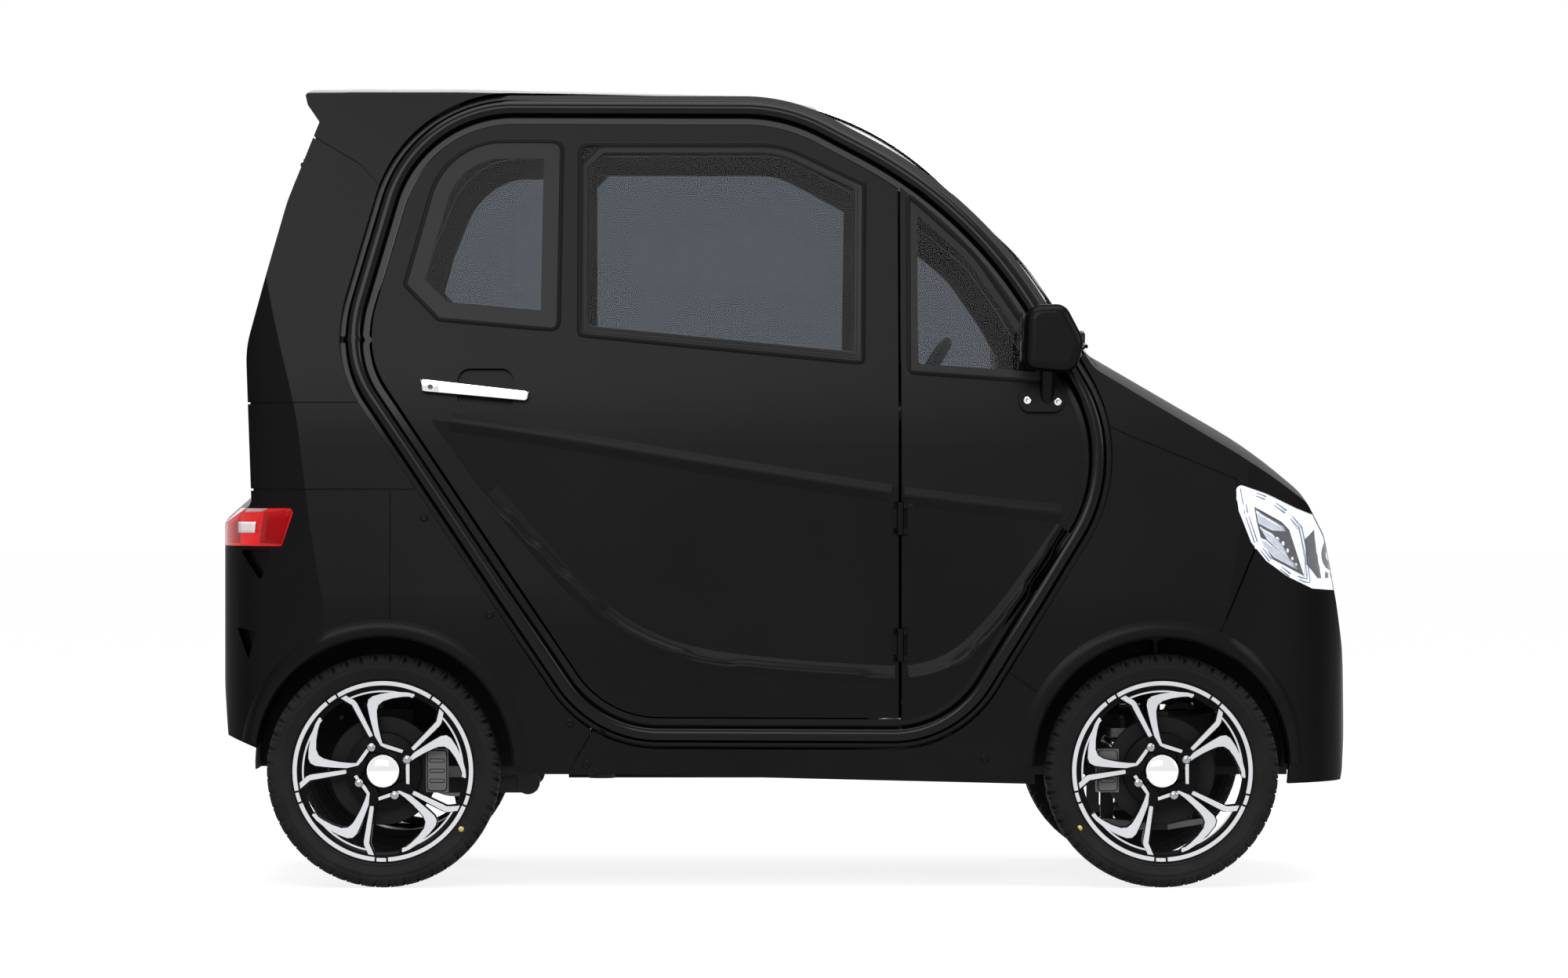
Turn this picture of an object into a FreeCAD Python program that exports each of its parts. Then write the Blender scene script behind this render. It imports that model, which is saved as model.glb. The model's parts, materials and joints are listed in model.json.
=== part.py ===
import FreeCAD, Part
import math
import os
import Sketcher
from FreeCAD import Placement, Rotation, Vector

# Enclosed electric microcar.
# Millimetres. +X points forward, +Y to the left, +Z up. The origin lies on the ground, under the middle of
# the body. Outlines are drawn in side view, as columns x, z, corner radius, and stand for both sides.

doc = FreeCAD.newDocument("microcar")

# Driving sizes

SIZES = {
    # wheels and axles
    "front_axle_x": 741,
    "rear_axle_x": -801,
    "tyre_radius": 231.5,
    "tyre_wall": 50.5,
    "disc_margin": 73,
    "tyre_width": 125,
    "wheel_plane_y": 490,
    "rim_width": 112,
    "rim_wall": 8,
    "hub_radius": 32,
    "disc_thickness": 9,
    "kingpin_y": 466,
    "steer_arm": 92,
    "stub_radius": 14,
    "axle_tube_radius": 27,
    # body
    "side_wall": 46,
    "shell_wall": 28,
    "glass": 6,
    "door_gap": 6,
    "shut_line_x": 222,
    "ring_tube": 34,
    "ring_outer_flange": 28,
    "ring_inner_flange": 30,
    "ring_channel": 26,
    "groove_width": 4,
    "groove_depth": 5,
    "body_bottom": 206,
    "rear_arch_gap": 24.5,
    "front_arch_gap": 22.5,
    "arch_rise": 11,
    "rear_pillar": 146,
    "rear_header": 160,
    "hatch_height": 316,
    "liner_wall": 4,
    "liner_inner_y": 302,
    # chassis and cabin
    "rail_y": 258,
    "rail_width": 44,
    "rail_height": 46,
    "rail_bottom": 214,
    "floor_wall": 12,
    "load_floor_z": 508,
    "cabin_behind": 249,
    "firewall_x": 466,
    "arm_thickness": 12,
    "lower_arm_drop": 119.5,
    "upper_arm_rise": 104.5,
    "rack_rise": 23,
    "rack_bar_radius": 9,
    "running_gap": 0.3,
    "steering_wheel_radius": 170,
    "steering_rim_radius": 12,
    "steering_y": 200,
    "seat_half_width": 300,
    "hinge_y": 563,
    "hinge_pin_radius": 4,
    "hinge_eye_radius": 7,
}
SIZES["axle_z"] = SIZES["tyre_radius"]
SIZES["rim_radius"] = SIZES["tyre_radius"] - SIZES["tyre_wall"]
SIZES["disc_radius"] = SIZES["rim_radius"] - SIZES["disc_margin"]
SIZES["rear_arch"] = SIZES["tyre_radius"] + SIZES["rear_arch_gap"]
SIZES["front_arch"] = SIZES["tyre_radius"] + SIZES["front_arch_gap"]
SIZES["cabin_rear_x"] = SIZES["rear_axle_x"] + SIZES["cabin_behind"]
SIZES["lower_arm_z"] = SIZES["axle_z"] - SIZES["lower_arm_drop"]
SIZES["upper_arm_z"] = SIZES["axle_z"] + SIZES["upper_arm_rise"]
SIZES["rack_z"] = SIZES["rail_bottom"] + SIZES["rail_height"] + SIZES["rack_rise"]

sheet = doc.addObject("Spreadsheet::Sheet", "sizes")
for row, (alias, value) in enumerate(SIZES.items(), start=1):
    sheet.set("A%d" % row, alias)
    sheet.set("B%d" % row, str(value))
    sheet.setAlias("B%d" % row, alias)
doc.recompute()


def size(alias):
    return float(getattr(sheet, alias))


nodes = []


def keep(item, label):
    item.Label = label
    nodes.append(item)
    return item


def solid_node(label, shape, at=Placement()):
    """A sub-part whose shape is worked out here from the sheet."""
    item = doc.addObject("Part::Feature", label)
    item.Shape = shape
    item.Placement = at
    return keep(item, label)


# Outline helpers

def rounded(points, closed=True):
    """Edges in the XZ plane: straight runs joined by tangent arcs of each corner's own radius."""
    corners = []
    count = len(points)
    for index, (x, z, radius) in enumerate(points):
        corner = Vector(x, 0, z)
        if radius <= 0 or (not closed and index in (0, count - 1)):
            corners.append((corner, None, corner))
            continue
        before = Vector(points[index - 1][0], 0, points[index - 1][1]) - corner
        after_point = points[(index + 1) % count]
        after = Vector(after_point[0], 0, after_point[1]) - corner
        before.normalize()
        after.normalize()
        half = before.getAngle(after) / 2
        inward = before + after
        inward.normalize()
        centre = corner + inward * (radius / math.sin(half))
        cut = radius / math.tan(half)
        corners.append((corner + before * cut, centre - inward * radius, corner + after * cut))
    edges = []
    for index in range(count):
        start, middle, end = corners[index]
        if middle is not None:
            edges.append(Part.Arc(start, middle, end).toShape())
        if index < count - 1 or closed:
            following = corners[(index + 1) % count][0]
            if following.distanceToPoint(end) > 1e-6:
                edges.append(Part.LineSegment(end, following).toShape())
    return edges


def moved_out(points, outset):
    """The outline with every side moved outwards and its corner arcs kept concentric."""
    count = len(points)
    area = sum(points[i - 1][0] * points[i][1] - points[i][0] * points[i - 1][1] for i in range(count))
    turn = 1 if area > 0 else -1
    moved = []
    for index, (x, z, radius) in enumerate(points):
        before = points[index - 1]
        after = points[(index + 1) % count]
        coming = Vector(x - before[0], 0, z - before[1]).normalize()
        going = Vector(after[0] - x, 0, after[1] - z).normalize()
        sine = turn * (coming.x * going.z - coming.z * going.x)
        cosine = coming.dot(going)
        out_before = Vector(coming.z, 0, -coming.x) * turn
        out_after = Vector(going.z, 0, -going.x) * turn
        shift = (out_before + out_after) * (outset / (1 + cosine))
        if radius > 0:
            radius = max(radius + (outset if sine > 0 else -outset), 0)
        moved.append((x + shift.x, z + shift.z, radius))
    return moved


def outline(points, outset=0):
    return Part.Wire(rounded(moved_out(points, outset) if outset else points))


def side_prism(points, low_y=-700, high_y=-180, outset=0):
    """The outline pushed along Y between two stations: by default the right side of the car."""
    face = Part.Face(outline(points, outset))
    face.translate(Vector(0, low_y, 0))
    return face.extrude(Vector(0, high_y - low_y, 0))


def full_prism(points, outset=0):
    return side_prism(points, -700, 700, outset)


def both_sides(shape):
    return Part.Compound([shape, mirrored(shape)])


def mirrored(shape):
    return shape.mirror(Vector(0, 0, 0), Vector(0, 1, 0))


def biggest(shape, count=1):
    solids = sorted(shape.Solids, key=lambda solid: -solid.Volume)
    return solids[0] if count == 1 else Part.Compound(solids[:count])


# Body form: side profile, cross section and plan

PROFILE = [
    (-1060, 150, 0), (-1112, 258, 60), (-1137, 505, 300), (-1134, 735, 30), (-1066, 795, 14),
    (-1078, 1100, 200), (-994, 1393, 300), (-908, 1606, 50), (-646, 1606, 3000), (131, 1587, 600),
    (470, 1272, 400), (608, 1070, 60), (935, 880, 900), (1034, 798, 60), (1072, 725, 80),
    (1102, 585, 100), (1130, 425, 300), (1138, 290, 80), (1085, 150, 0),
]
SECTION = [(532, 100, 0), (569, 520, 900), (546, 960, 1500), (408, 1820, 0)]
PLAN = [
    (1088, -575, 330), (1154, 0, 1500), (1088, 575, 330), (-1112, 575, 280), (-1150, 0, 3000),
    (-1112, -575, 280),
]
CROWN_AXIS_Z = -2400
CROWN_HALF_ANGLE = 14


def inset_wire(points, inset):
    return outline(points, -inset)


def crowned(points, inset=0):
    """A side profile swept round an axis far below, which crowns the roof, screen and bonnet."""
    face = Part.Face(inset_wire(points, inset))
    axis_point = Vector(0, 0, CROWN_AXIS_Z)
    face.rotate(axis_point, Vector(1, 0, 0), -CROWN_HALF_ANGLE)
    return face.revolve(axis_point, Vector(1, 0, 0), 2 * CROWN_HALF_ANGLE)


def side_form(inset):
    """The cross section along the whole length, its sides leaning in above the waist."""
    right = [(-y, z, radius) for y, z, radius in SECTION]
    wire = inset_wire(SECTION + right[::-1], inset)
    wire.Placement = Placement(Vector(-1400, 0, 0), Rotation(Vector(0, 0, 1), 90)).multiply(wire.Placement)
    return Part.Face(wire).extrude(Vector(2800, 0, 0))


def plan_form(inset):
    wire = inset_wire(PLAN, inset)
    wire.Placement = Placement(Vector(0, 0, 60), Rotation(Vector(1, 0, 0), -90)).multiply(wire.Placement)
    return Part.Face(wire).extrude(Vector(0, 0, 1800))


def body_form(inset, bottom):
    form = crowned(PROFILE, inset).common(side_form(inset)).common(plan_form(inset))
    floor = Part.makeBox(3000, 2000, 1800, Vector(-1500, -1000, bottom))
    return biggest(form.common(floor))


body_bottom = size("body_bottom")
side_wall = size("side_wall")
shell_wall = size("shell_wall")
glass = size("glass")
outer = body_form(0, body_bottom)
hollow = body_form(shell_wall, 100)
inboard = side_form(side_wall)
SPOILER = [
    (-800, 1606, 0), (-961, 1605, 6), (-955, 1581, 10), (-928, 1543, 20), (-934, 1524, 0), (-800, 1524, 0),
]
spoiler = crowned(SPOILER).common(side_form(0))
shell = outer.fuse(spoiler).cut(hollow)

# Ring: the tube round the door opening

RING = [
    (-738, 1553, 256), (-860, 1130, 279), (-860, 1026, 212), (-377, 304, 229), (327, 301, 214),
    (614, 772, 287), (614, 935, 287), (374, 1351, 868), (-1, 1551, 341),
]
half_tube = size("ring_tube") / 2
outer_flange = size("ring_outer_flange")
inner_flange = size("ring_inner_flange")
channel = size("ring_channel")


def ring_band(outer_set, inner_set):
    return side_prism(RING, outset=outer_set).cut(side_prism(RING, outset=inner_set))


ring_tube = ring_band(half_tube, -half_tube).common(outer)
ring_flange = ring_band(outer_flange, -inner_flange).common(outer).cut(outer.common(side_prism(RING,
                                                                                               outset=60)).cut(side_form(channel)))
ring = biggest(ring_tube.fuse(ring_flange).cut(inboard).removeSplitter())
solid_node("door_rings", both_sides(ring))
side_shell = shell.cut(inboard)
for band in (side_prism(RING, outset=outer_flange), mirrored(side_prism(RING, outset=outer_flange))):
    side_shell = side_shell.cut(band)
outside_ring = side_shell.fuse(shell.common(inboard))

# Scoop: the flank between the character line and the sweep below it is let in to a flat plane

SCOOP = [
    (-705, 925, 0), (-600, 781, 300), (-318, 508, 260), (-170, 452, 200), (240, 418, 160), (345, 448, 90),
    (450, 570, 200), (565, 735, 0), (565, 850, 0), (-705, 1050, 0),
]
SCOOP_PLANE = ((-677, -547.2, 927), (558, -557.4, 741), (-8, -553.8, 450))
first, second, third = (Vector(*point) for point in SCOOP_PLANE)
across = (second - first).normalize()
downward = (third - first).normalize()
SCOOP_REACH = 1600
plane_corner = first - across * (SCOOP_REACH / 4) - downward * (SCOOP_REACH / 4)
plane_corners = [
    plane_corner, plane_corner + across * SCOOP_REACH, plane_corner + (across + downward) * SCOOP_REACH,
    plane_corner + downward * SCOOP_REACH, plane_corner,
]
outside_plane = Part.Face(Part.makePolygon(plane_corners)).extrude(Vector(0, -100, 0))
scoop = side_prism(SCOOP).common(outside_plane)

# Arches

rear_axle_x = size("rear_axle_x")
front_axle_x = size("front_axle_x")
arch_z = size("axle_z") + size("arch_rise")
arch_tools = []
for arch_x, alias in ((rear_axle_x, "rear_arch"), (front_axle_x, "front_arch")):
    arch_tools.append(Part.makeCylinder(size(alias), 1400, Vector(arch_x, -700, arch_z), Vector(0, 1, 0)))
outside_ring = outside_ring.cut(arch_tools[0]).cut(arch_tools[1])

# Outer panels, each named with its zone in side view

HEADLAMP = [
    (885, 802, 10), (947, 781, 0), (1010, 752, 0), (1180, 690, 0), (1180, 580, 0), (1045, 592, 10), (991,
                                                                                                     617, 0),
    (947, 648, 0), (916, 685, 0), (891, 747, 0),
]
TAIL_LAMP = [(-1180, 752, 0), (-976, 752, 8), (-1002, 677, 8), (-1180, 677, 0)]
REAR_SEAM = [(-760, 1335, 0), (-849, 1435, 0), (-950, 1496, 0), (-1300, 1496, 0)]
ZONES = {
    "roof_panel": [(-1300, 1700, 0), (60, 1700, 0), (60, 1480, 0), (-100, 1335, 0)] + REAR_SEAM,
    "bonnet": [
        (650, 1112, 0), (560, 1035, 0), (560, 950, 0), (657, 903, 0), (887, 809, 0), (1012, 777,
                                                                                      0), (1100, 777, 0),
        (1100, 1200, 0),
    ],
    "front_fenders": [
        (400, 456, 0), (512, 375, 0), (512, 120, 0), (843, 120, 0), (843, 479, 0), (926, 676, 0),
        (887, 770, 0), (887, 809, 0), (657, 903, 0), (560, 950, 0), (400, 950, 0),
    ],
    "front_bumper": [
        (843, 120, 0), (843, 479, 0), (926, 676, 0), (887, 770, 0), (887, 809, 0), (1012, 777, 0), (1250,
                                                                                                    777, 0),
        (1250, 120, 0),
    ],
    "sills": [
        (-499, 120, 0), (-376, 328, 0), (-300, 460, 0), (394, 460, 0), (512, 375, 0), (512, 120, 0),
    ],
    "rear_side_panels": [
        (-786, 789, 0), (-786, 120, 0), (-499, 120, 0), (-300, 460, 0), (-600, 900, 0), (-680, 789, 0),
    ],
    "rear_bumper": [(-1300, 789, 0), (-786, 789, 0), (-786, 120, 0), (-1300, 120, 0)],
    "rear_body": [(-1300, 789, 0), (-680, 789, 0), (-680, 1335, 0)] + REAR_SEAM,
}
PAIRS = ("front_fenders", "sills", "rear_side_panels")
SEAMS = (
    [(-786, 789), (-786, 300)], [(-1250, 789), (-690, 789)], [(-1250, 961), (-852, 961)],
    [(-760, 1335), (-849, 1435), (-950, 1496)], [(-330, 408), (-499, 120)],
    [(394, 460), (512, 375), (512, 150)], [(887, 809), (887, 770), (926, 676), (843, 479), (843, 400)],
    [(560, 950), (657, 903), (887, 809)],
)
REAR_LIFT = [(-1300, 0, 0), (-1300, 304, 0), (-1137, 304, 0), (-1040, 270, 0), (-1040, 0, 0)]
SILL_LIFT = [(-640, 0, 0), (-640, 233, 0), (500, 206, 0), (500, 0, 0)]
PLATE_HOLE = 3.2
PLATE_HALF_SPACING = 120
REAR_PLATE_Z = 640
FRONT_PLATE_Z = 500
REAR_RECESS = [(-1090, 669, 5), (-1023, 669, 5), (-1046, 607, 5)]
REAR_NOTCH = [(-1097, 514, 2), (-1057, 507, 2), (-1072, 451, 2)]
RECESS_DEPTH = 12
roof_z = max(z for x, z, radius in PROFILE)
waist_y = SECTION[2][0]
HATCH_TOP_Z = roof_z - size("rear_header")
HATCH_BOTTOM_Z = HATCH_TOP_Z - size("hatch_height")
HATCH_HALF_Y = waist_y - size("rear_pillar")
lamp_cut = both_sides(side_prism(HEADLAMP, -700, -270))
tail_cut = both_sides(side_prism(TAIL_LAMP, -700, -330))
hatch_opening = Part.makeBox(400, 2 * HATCH_HALF_Y, HATCH_TOP_Z - HATCH_BOTTOM_Z,
                             Vector(-1250, -HATCH_HALF_Y, HATCH_BOTTOM_Z))
HATCH_HINGE = (-978, HATCH_TOP_Z + 1)
HATCH_HINGE_Y = 180
HATCH_EYE_RADIUS = 6
HATCH_PIN_RADIUS = 3


def hatch_hinge_half(fixed_half):
    """The two hinges at the top of the rear glass: fixed ears with the pin, or the eyes between them."""
    pieces = []
    hinge_x, hinge_z = HATCH_HINGE
    for middle in (-HATCH_HINGE_Y, HATCH_HINGE_Y):
        if fixed_half:
            pieces.append(Part.makeCylinder(HATCH_PIN_RADIUS, 54, Vector(hinge_x, middle - 27, hinge_z),
                                            Vector(0, 1, 0)))
            for low in (middle - 27, middle + 15.5):
                pieces.append(Part.makeCylinder(HATCH_EYE_RADIUS, 11.5, Vector(hinge_x, low, hinge_z),
                                                Vector(0, 1, 0)))
                pieces.append(Part.makeBox(12, 11.5, 12, Vector(hinge_x, low, hinge_z)))
        else:
            eye = Part.makeCylinder(HATCH_EYE_RADIUS, 30, Vector(hinge_x, middle - 15, hinge_z),
                                    Vector(0, 1, 0))
            web = Part.makeBox(8, 30, 26, Vector(hinge_x - 4, middle - 15, hinge_z - 26))
            pin_hole = Part.makeCylinder(HATCH_PIN_RADIUS + size("running_gap"), 60,
                                         Vector(hinge_x, middle - 30, hinge_z), Vector(0, 1, 0))
            pieces.append(eye.fuse(web).cut(pin_hole))
    return pieces


def seam_band(start, end, width):
    """A straight run of one seam, drawn in side view as a thin band across the whole car."""
    along = Vector(end[0] - start[0], 0, end[1] - start[1]).normalize()
    across = Vector(-along.z, 0, along.x) * (width / 2)
    start_point = Vector(start[0], 0, start[1]) - along * (width / 2)
    end_point = Vector(end[0], 0, end[1]) + along * (width / 2)
    corners = [start_point - across, end_point - across, end_point + across, start_point + across]
    return full_prism([(corner.x, corner.z, 0) for corner in corners])


def plate_holes(z, low_x):
    """The two bolt holes of a number plate, through the bumper's skin."""
    return Part.Compound([
        Part.makeCylinder(PLATE_HOLE, 400, Vector(low_x, y, z), Vector(1, 0, 0))
        for y in (-PLATE_HALF_SPACING, PLATE_HALF_SPACING)
    ])


groove_layer = outer.cut(body_form(size("groove_depth"), 100))
bands = [seam_band(start, end, size("groove_width")) for seam in SEAMS for start, end in zip(seam, seam[1:])]
grooves = groove_layer.common(bands[0].fuse(bands[1:]))
recess_layer = outer.cut(body_form(RECESS_DEPTH, 100))
rear_recesses = recess_layer.common(full_prism(REAR_RECESS).fuse(full_prism(REAR_NOTCH)))
panels = {}
for name, zone in ZONES.items():
    panel = outside_ring.common(full_prism(zone)).cut(grooves)
    if name == "rear_bumper":
        panel = panel.cut(rear_recesses).cut(full_prism(REAR_LIFT)).cut(plate_holes(REAR_PLATE_Z, -1300))
    if name == "front_bumper":
        panel = panel.cut(plate_holes(FRONT_PLATE_Z, 900))
    if name in ("sills", "rear_side_panels"):
        panel = panel.cut(full_prism(SILL_LIFT))
    if name in ("front_bumper", "front_fenders"):
        panel = panel.cut(lamp_cut)
    if name == "rear_bumper":
        panel = panel.cut(tail_cut)
    if name == "rear_body":
        panel = panel.cut(hatch_opening)
        panel = biggest(panel).fuse(hatch_hinge_half(True))
    panels[name] = biggest(panel, 2 if name in PAIRS else 1)
for name, panel in panels.items():
    solid_node(name, panel)
lamp_depth = outer.cut(body_form(side_wall, 100))
solid_node("headlamps", biggest(lamp_depth.common(lamp_cut), 2))
solid_node("tail_lamps", biggest(shell.common(tail_cut), 2))

# Screens

WINDSCREEN = [(60, 1700, 0), (60, 1200, 0), (560, 1035, 0), (650, 1112, 0), (650, 1700, 0)]
screen_form = outer.cut(body_form(glass, 100))
windscreen = screen_form.common(full_prism(WINDSCREEN)).common(side_form(side_wall))
solid_node("windscreen", biggest(windscreen))

HATCH_GLASS = 10
hatch_gap = size("door_gap")
hatch_pane = Part.makeBox(400, 2 * (HATCH_HALF_Y - hatch_gap), HATCH_TOP_Z - HATCH_BOTTOM_Z - 2 * hatch_gap,
                          Vector(-1250, -HATCH_HALF_Y + hatch_gap, HATCH_BOTTOM_Z + hatch_gap))
hatch_glass = biggest(outer.cut(body_form(HATCH_GLASS, 100)).common(hatch_pane))
solid_node("rear_hatch", hatch_glass.fuse(hatch_hinge_half(False)))

# Doors and fixed front panels

door_gap = size("door_gap")
shut_line_x = size("shut_line_x")
cell = side_prism(RING, outset=-inner_flange).common(outer).cut(inboard)
door_cell = side_prism(RING, outset=-inner_flange - door_gap).common(outer).cut(inboard)
DOOR_ZONE = [(-1200, 1700, 0), (-1200, 100, 0), (shut_line_x - door_gap / 2, 100, 0),
             (shut_line_x - door_gap / 2, 1700, 0)]
FIXED_ZONE = [(shut_line_x + door_gap / 2, 1700, 0), (shut_line_x + door_gap / 2, 100, 0), (1200, 100,
                                                                                            0), (1200,
                                                                                                 1700, 0)]
MAIN_FRAME = [(-414, 1478, 19), (-11, 1478, 186), (155, 1398, 9), (151, 1038, 9), (-415, 1094, 9)]
MAIN_GLASS = [(-392, 1454, 3), (-8, 1454, 155), (132, 1378, 3), (129, 1057, 3), (-395, 1110, 3)]
REAR_FRAME = [(-680, 1485, 150), (-446, 1485, 19), (-452, 1103, 16), (-693, 1125, 9), (-761, 1196, 9)]
REAR_GLASS = [(-628, 1449, 147), (-477, 1449, 16), (-477, 1131, 16), (-679, 1151, 6), (-725, 1212, 6)]
FRONT_FRAME = [(238, 1380, 6), (372, 1258, 300), (496, 1076, 310), (519, 1000, 6), (238, 1020, 9)]
FRONT_GLASS = [(256, 1312, 3), (352, 1234, 200), (423, 1131, 200), (462, 1062, 10), (457, 1024, 6), (259,
                                                                                                     1038, 6)]


def window(frame, clear):
    """The flush pane, and what it takes out of the panel: a shallow rebate and the clear opening."""
    rebate = side_prism(frame).common(outer).cut(side_form(glass))
    opening = side_prism(clear)
    return rebate, rebate.fuse(opening)


main_pane, main_cut = window(MAIN_FRAME, MAIN_GLASS)
rear_pane, rear_cut = window(REAR_FRAME, REAR_GLASS)
front_pane, front_cut = window(FRONT_FRAME, FRONT_GLASS)
HANDLE_POCKET = [(-654, 1029, 25), (-542, 1029, 25), (-542, 947, 25), (-654, 947, 25)]
POCKET_DEPTH = 14
handle_pocket = side_prism(HANDLE_POCKET).cut(side_form(POCKET_DEPTH))
door = biggest(door_cell.common(side_prism(DOOR_ZONE))).cut(main_cut).cut(rear_cut)
door = door.cut(handle_pocket).cut(scoop)
fixed = biggest(cell.common(side_prism(FIXED_ZONE))).cut(front_cut).cut(scoop)
hinge_y = size("hinge_y")
pin_radius = size("hinge_pin_radius")
eye_radius = size("hinge_eye_radius")
HINGE_HEIGHTS = (450, 700)
KNUCKLE = 12
EYE_LENGTH = 40
POCKET_HALF = 14
LEAF = 14
for low in HINGE_HEIGHTS:
    high = low + 2 * KNUCKLE + EYE_LENGTH
    pocket = Part.makeBox(2 * POCKET_HALF, 60, high - low + 2, Vector(shut_line_x - POCKET_HALF,
                                                                      -hinge_y - 40, low - 1))
    door = door.cut(pocket)
    fixed = fixed.cut(pocket)
    for bottom in (low, high - KNUCKLE):
        knuckle = Part.makeCylinder(eye_radius, KNUCKLE, Vector(shut_line_x, -hinge_y, bottom))
        leaf = Part.makeBox(POCKET_HALF, LEAF, KNUCKLE, Vector(shut_line_x, -hinge_y, bottom))
        fixed = fixed.fuse([knuckle, leaf])
    fixed = fixed.fuse(Part.makeCylinder(pin_radius, high - low, Vector(shut_line_x, -hinge_y, low)))
    eye = Part.makeCylinder(eye_radius, EYE_LENGTH - 1, Vector(shut_line_x, -hinge_y, low + KNUCKLE + 0.5))
    web = Part.makeBox(POCKET_HALF, LEAF, EYE_LENGTH - 1, Vector(shut_line_x - POCKET_HALF, -hinge_y,
                                                                 low + KNUCKLE + 0.5))
    pin_hole = Part.makeCylinder(pin_radius + size("running_gap"), 200, Vector(shut_line_x, -hinge_y,
                                                                               low - 60))
    door = door.fuse(eye.fuse(web).cut(pin_hole))
panes = Part.Compound([biggest(main_pane), biggest(rear_pane)])
for side, turn in (("right", lambda shape: shape), ("left", mirrored)):
    solid_node("door_" + side, turn(biggest(door)))
    solid_node("door_glass_" + side, turn(panes))
solid_node("front_side_panels", both_sides(biggest(fixed)))
solid_node("front_quarter_glass", both_sides(biggest(front_pane)))

# Bound primitives

def primitive(kind, name, values, place):
    """A Part primitive; every size and place is an expression of the sheet's cells."""
    item = doc.addObject("Part::" + kind, name)
    for prop, value in values.items():
        item.setExpression(prop, str(value))
    for axis, value in zip("xyz", place):
        item.setExpression(".Placement.Base." + axis, str(value))
    return item


def turned(item, axis, angle):
    item.Placement = Placement(item.Placement.Base, Rotation(axis, angle))
    return item


def block(name, length, width, height, place):
    return primitive("Box", name, {"Length": length, "Width": width, "Height": height}, place)


def rod_along_y(name, radius, length, place):
    """A round bar whose place is its low-Y end."""
    rod = primitive("Cylinder", name, {"Radius": radius, "Height": length}, place)
    return turned(rod, Vector(1, 0, 0), -90)


def post(name, radius, height, place):
    return primitive("Cylinder", name, {"Radius": radius, "Height": height}, place)


def joined(name, items):
    item = doc.addObject("Part::MultiFuse", name)
    item.Shapes = items
    return item


def reflected(name, source):
    item = doc.addObject("Part::Mirroring", name)
    item.Source = source
    item.Normal = Vector(0, 1, 0)
    return item


def grouped(name, items):
    item = doc.addObject("Part::Compound", name)
    item.Links = items
    return item


# Wheels

def origin_plane(body, role):
    return [feature for feature in body.Origin.OriginFeatures if feature.Role == role][0]


def sketch_outline(body, name, plane, corners, offset=0):
    """A closed outline in a body's own sketch; each corner's two distances are expressions."""
    sketch = body.newObject("Sketcher::SketchObject", name)
    sketch.AttachmentSupport = [(origin_plane(body, plane), "")]
    sketch.MapMode = "FlatFace"
    sketch.AttachmentOffset = Placement(Vector(0, 0, offset), Rotation())
    count = len(corners)
    probe = [(value_of(u), value_of(v)) for u, v in corners]
    for index in range(count):
        start = Vector(probe[index][0], probe[index][1], 0)
        end = Vector(probe[(index + 1) % count][0], probe[(index + 1) % count][1], 0)
        sketch.addGeometry(Part.LineSegment(start, end), False)
    for index in range(count):
        sketch.addConstraint(Sketcher.Constraint("Coincident", index, 2, (index + 1) % count, 1))
    for index, (u, v) in enumerate(corners):
        for kind, expression, value in (("DistanceX", u, probe[index][0]), ("DistanceY", v, probe[index][1])):
            number = sketch.addConstraint(Sketcher.Constraint(kind, -1, 1, index, 1, value))
            sketch.setExpression("Constraints[%d]" % number, str(expression))
    return sketch


probe_cell = doc.addObject("App::FeaturePython", "probe")
probe_cell.addProperty("App::PropertyFloat", "Value")


def value_of(expression):
    return float(probe_cell.evalExpression(str(expression)))


def revolved(body, name, sketch):
    feature = body.newObject("PartDesign::Revolution", name)
    feature.Profile = sketch
    feature.ReferenceAxis = (sketch, ["V_Axis"])
    feature.Angle = 360
    return feature


WHEELS = (
    ("front_left", "sizes.front_axle_x", 1),
    ("front_right", "sizes.front_axle_x", -1),
    ("rear_left", "sizes.rear_axle_x", 1),
    ("rear_right", "sizes.rear_axle_x", -1),
)


def put_wheel(body, x, side):
    """Its own axis, local Z, points out of the car."""
    body.Placement = Placement(Vector(), Rotation(Vector(1, 0, 0), -90 * side))
    body.setExpression(".Placement.Base.x", x)
    body.setExpression(".Placement.Base.y", "%d * sizes.wheel_plane_y" % side)
    body.setExpression(".Placement.Base.z", "sizes.axle_z")


LIP = 6
bead = "sizes.rim_radius - %d" % LIP
barrel = "sizes.rim_radius - %d - sizes.rim_wall" % LIP
edge = "sizes.rim_width / 2"
RIM_PROFILE = [
    (barrel, "-(%s)" % edge), ("sizes.rim_radius", "-(%s)" % edge), ("sizes.rim_radius",
                                                                     "-(%s) + %d" % (edge, LIP)),
    (bead, "-(%s) + %d" % (edge, LIP)), (bead, "%s - %d" % (edge, LIP)), ("sizes.rim_radius",
                                                                          "%s - %d" % (edge, LIP)),
    ("sizes.rim_radius", edge), (barrel, edge),
]
bore = "sizes.stub_radius + sizes.running_gap"
HUB_PROFILE = [
    (bore, "-4"), ("48", "-4"), ("48", "2"), ("sizes.disc_radius", "2"), ("sizes.disc_radius",
                                                                          "2 + sizes.disc_thickness"),
    ("62", "2 + sizes.disc_thickness"), ("62", "22"), ("75", "22"), ("75",
                                                                     "36"), ("sizes.hub_radius + 2",
                                                                             "42"),
    ("sizes.hub_radius", "50"), ("0", "50"), ("0", "30"), (bore, "30"),
]
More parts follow.
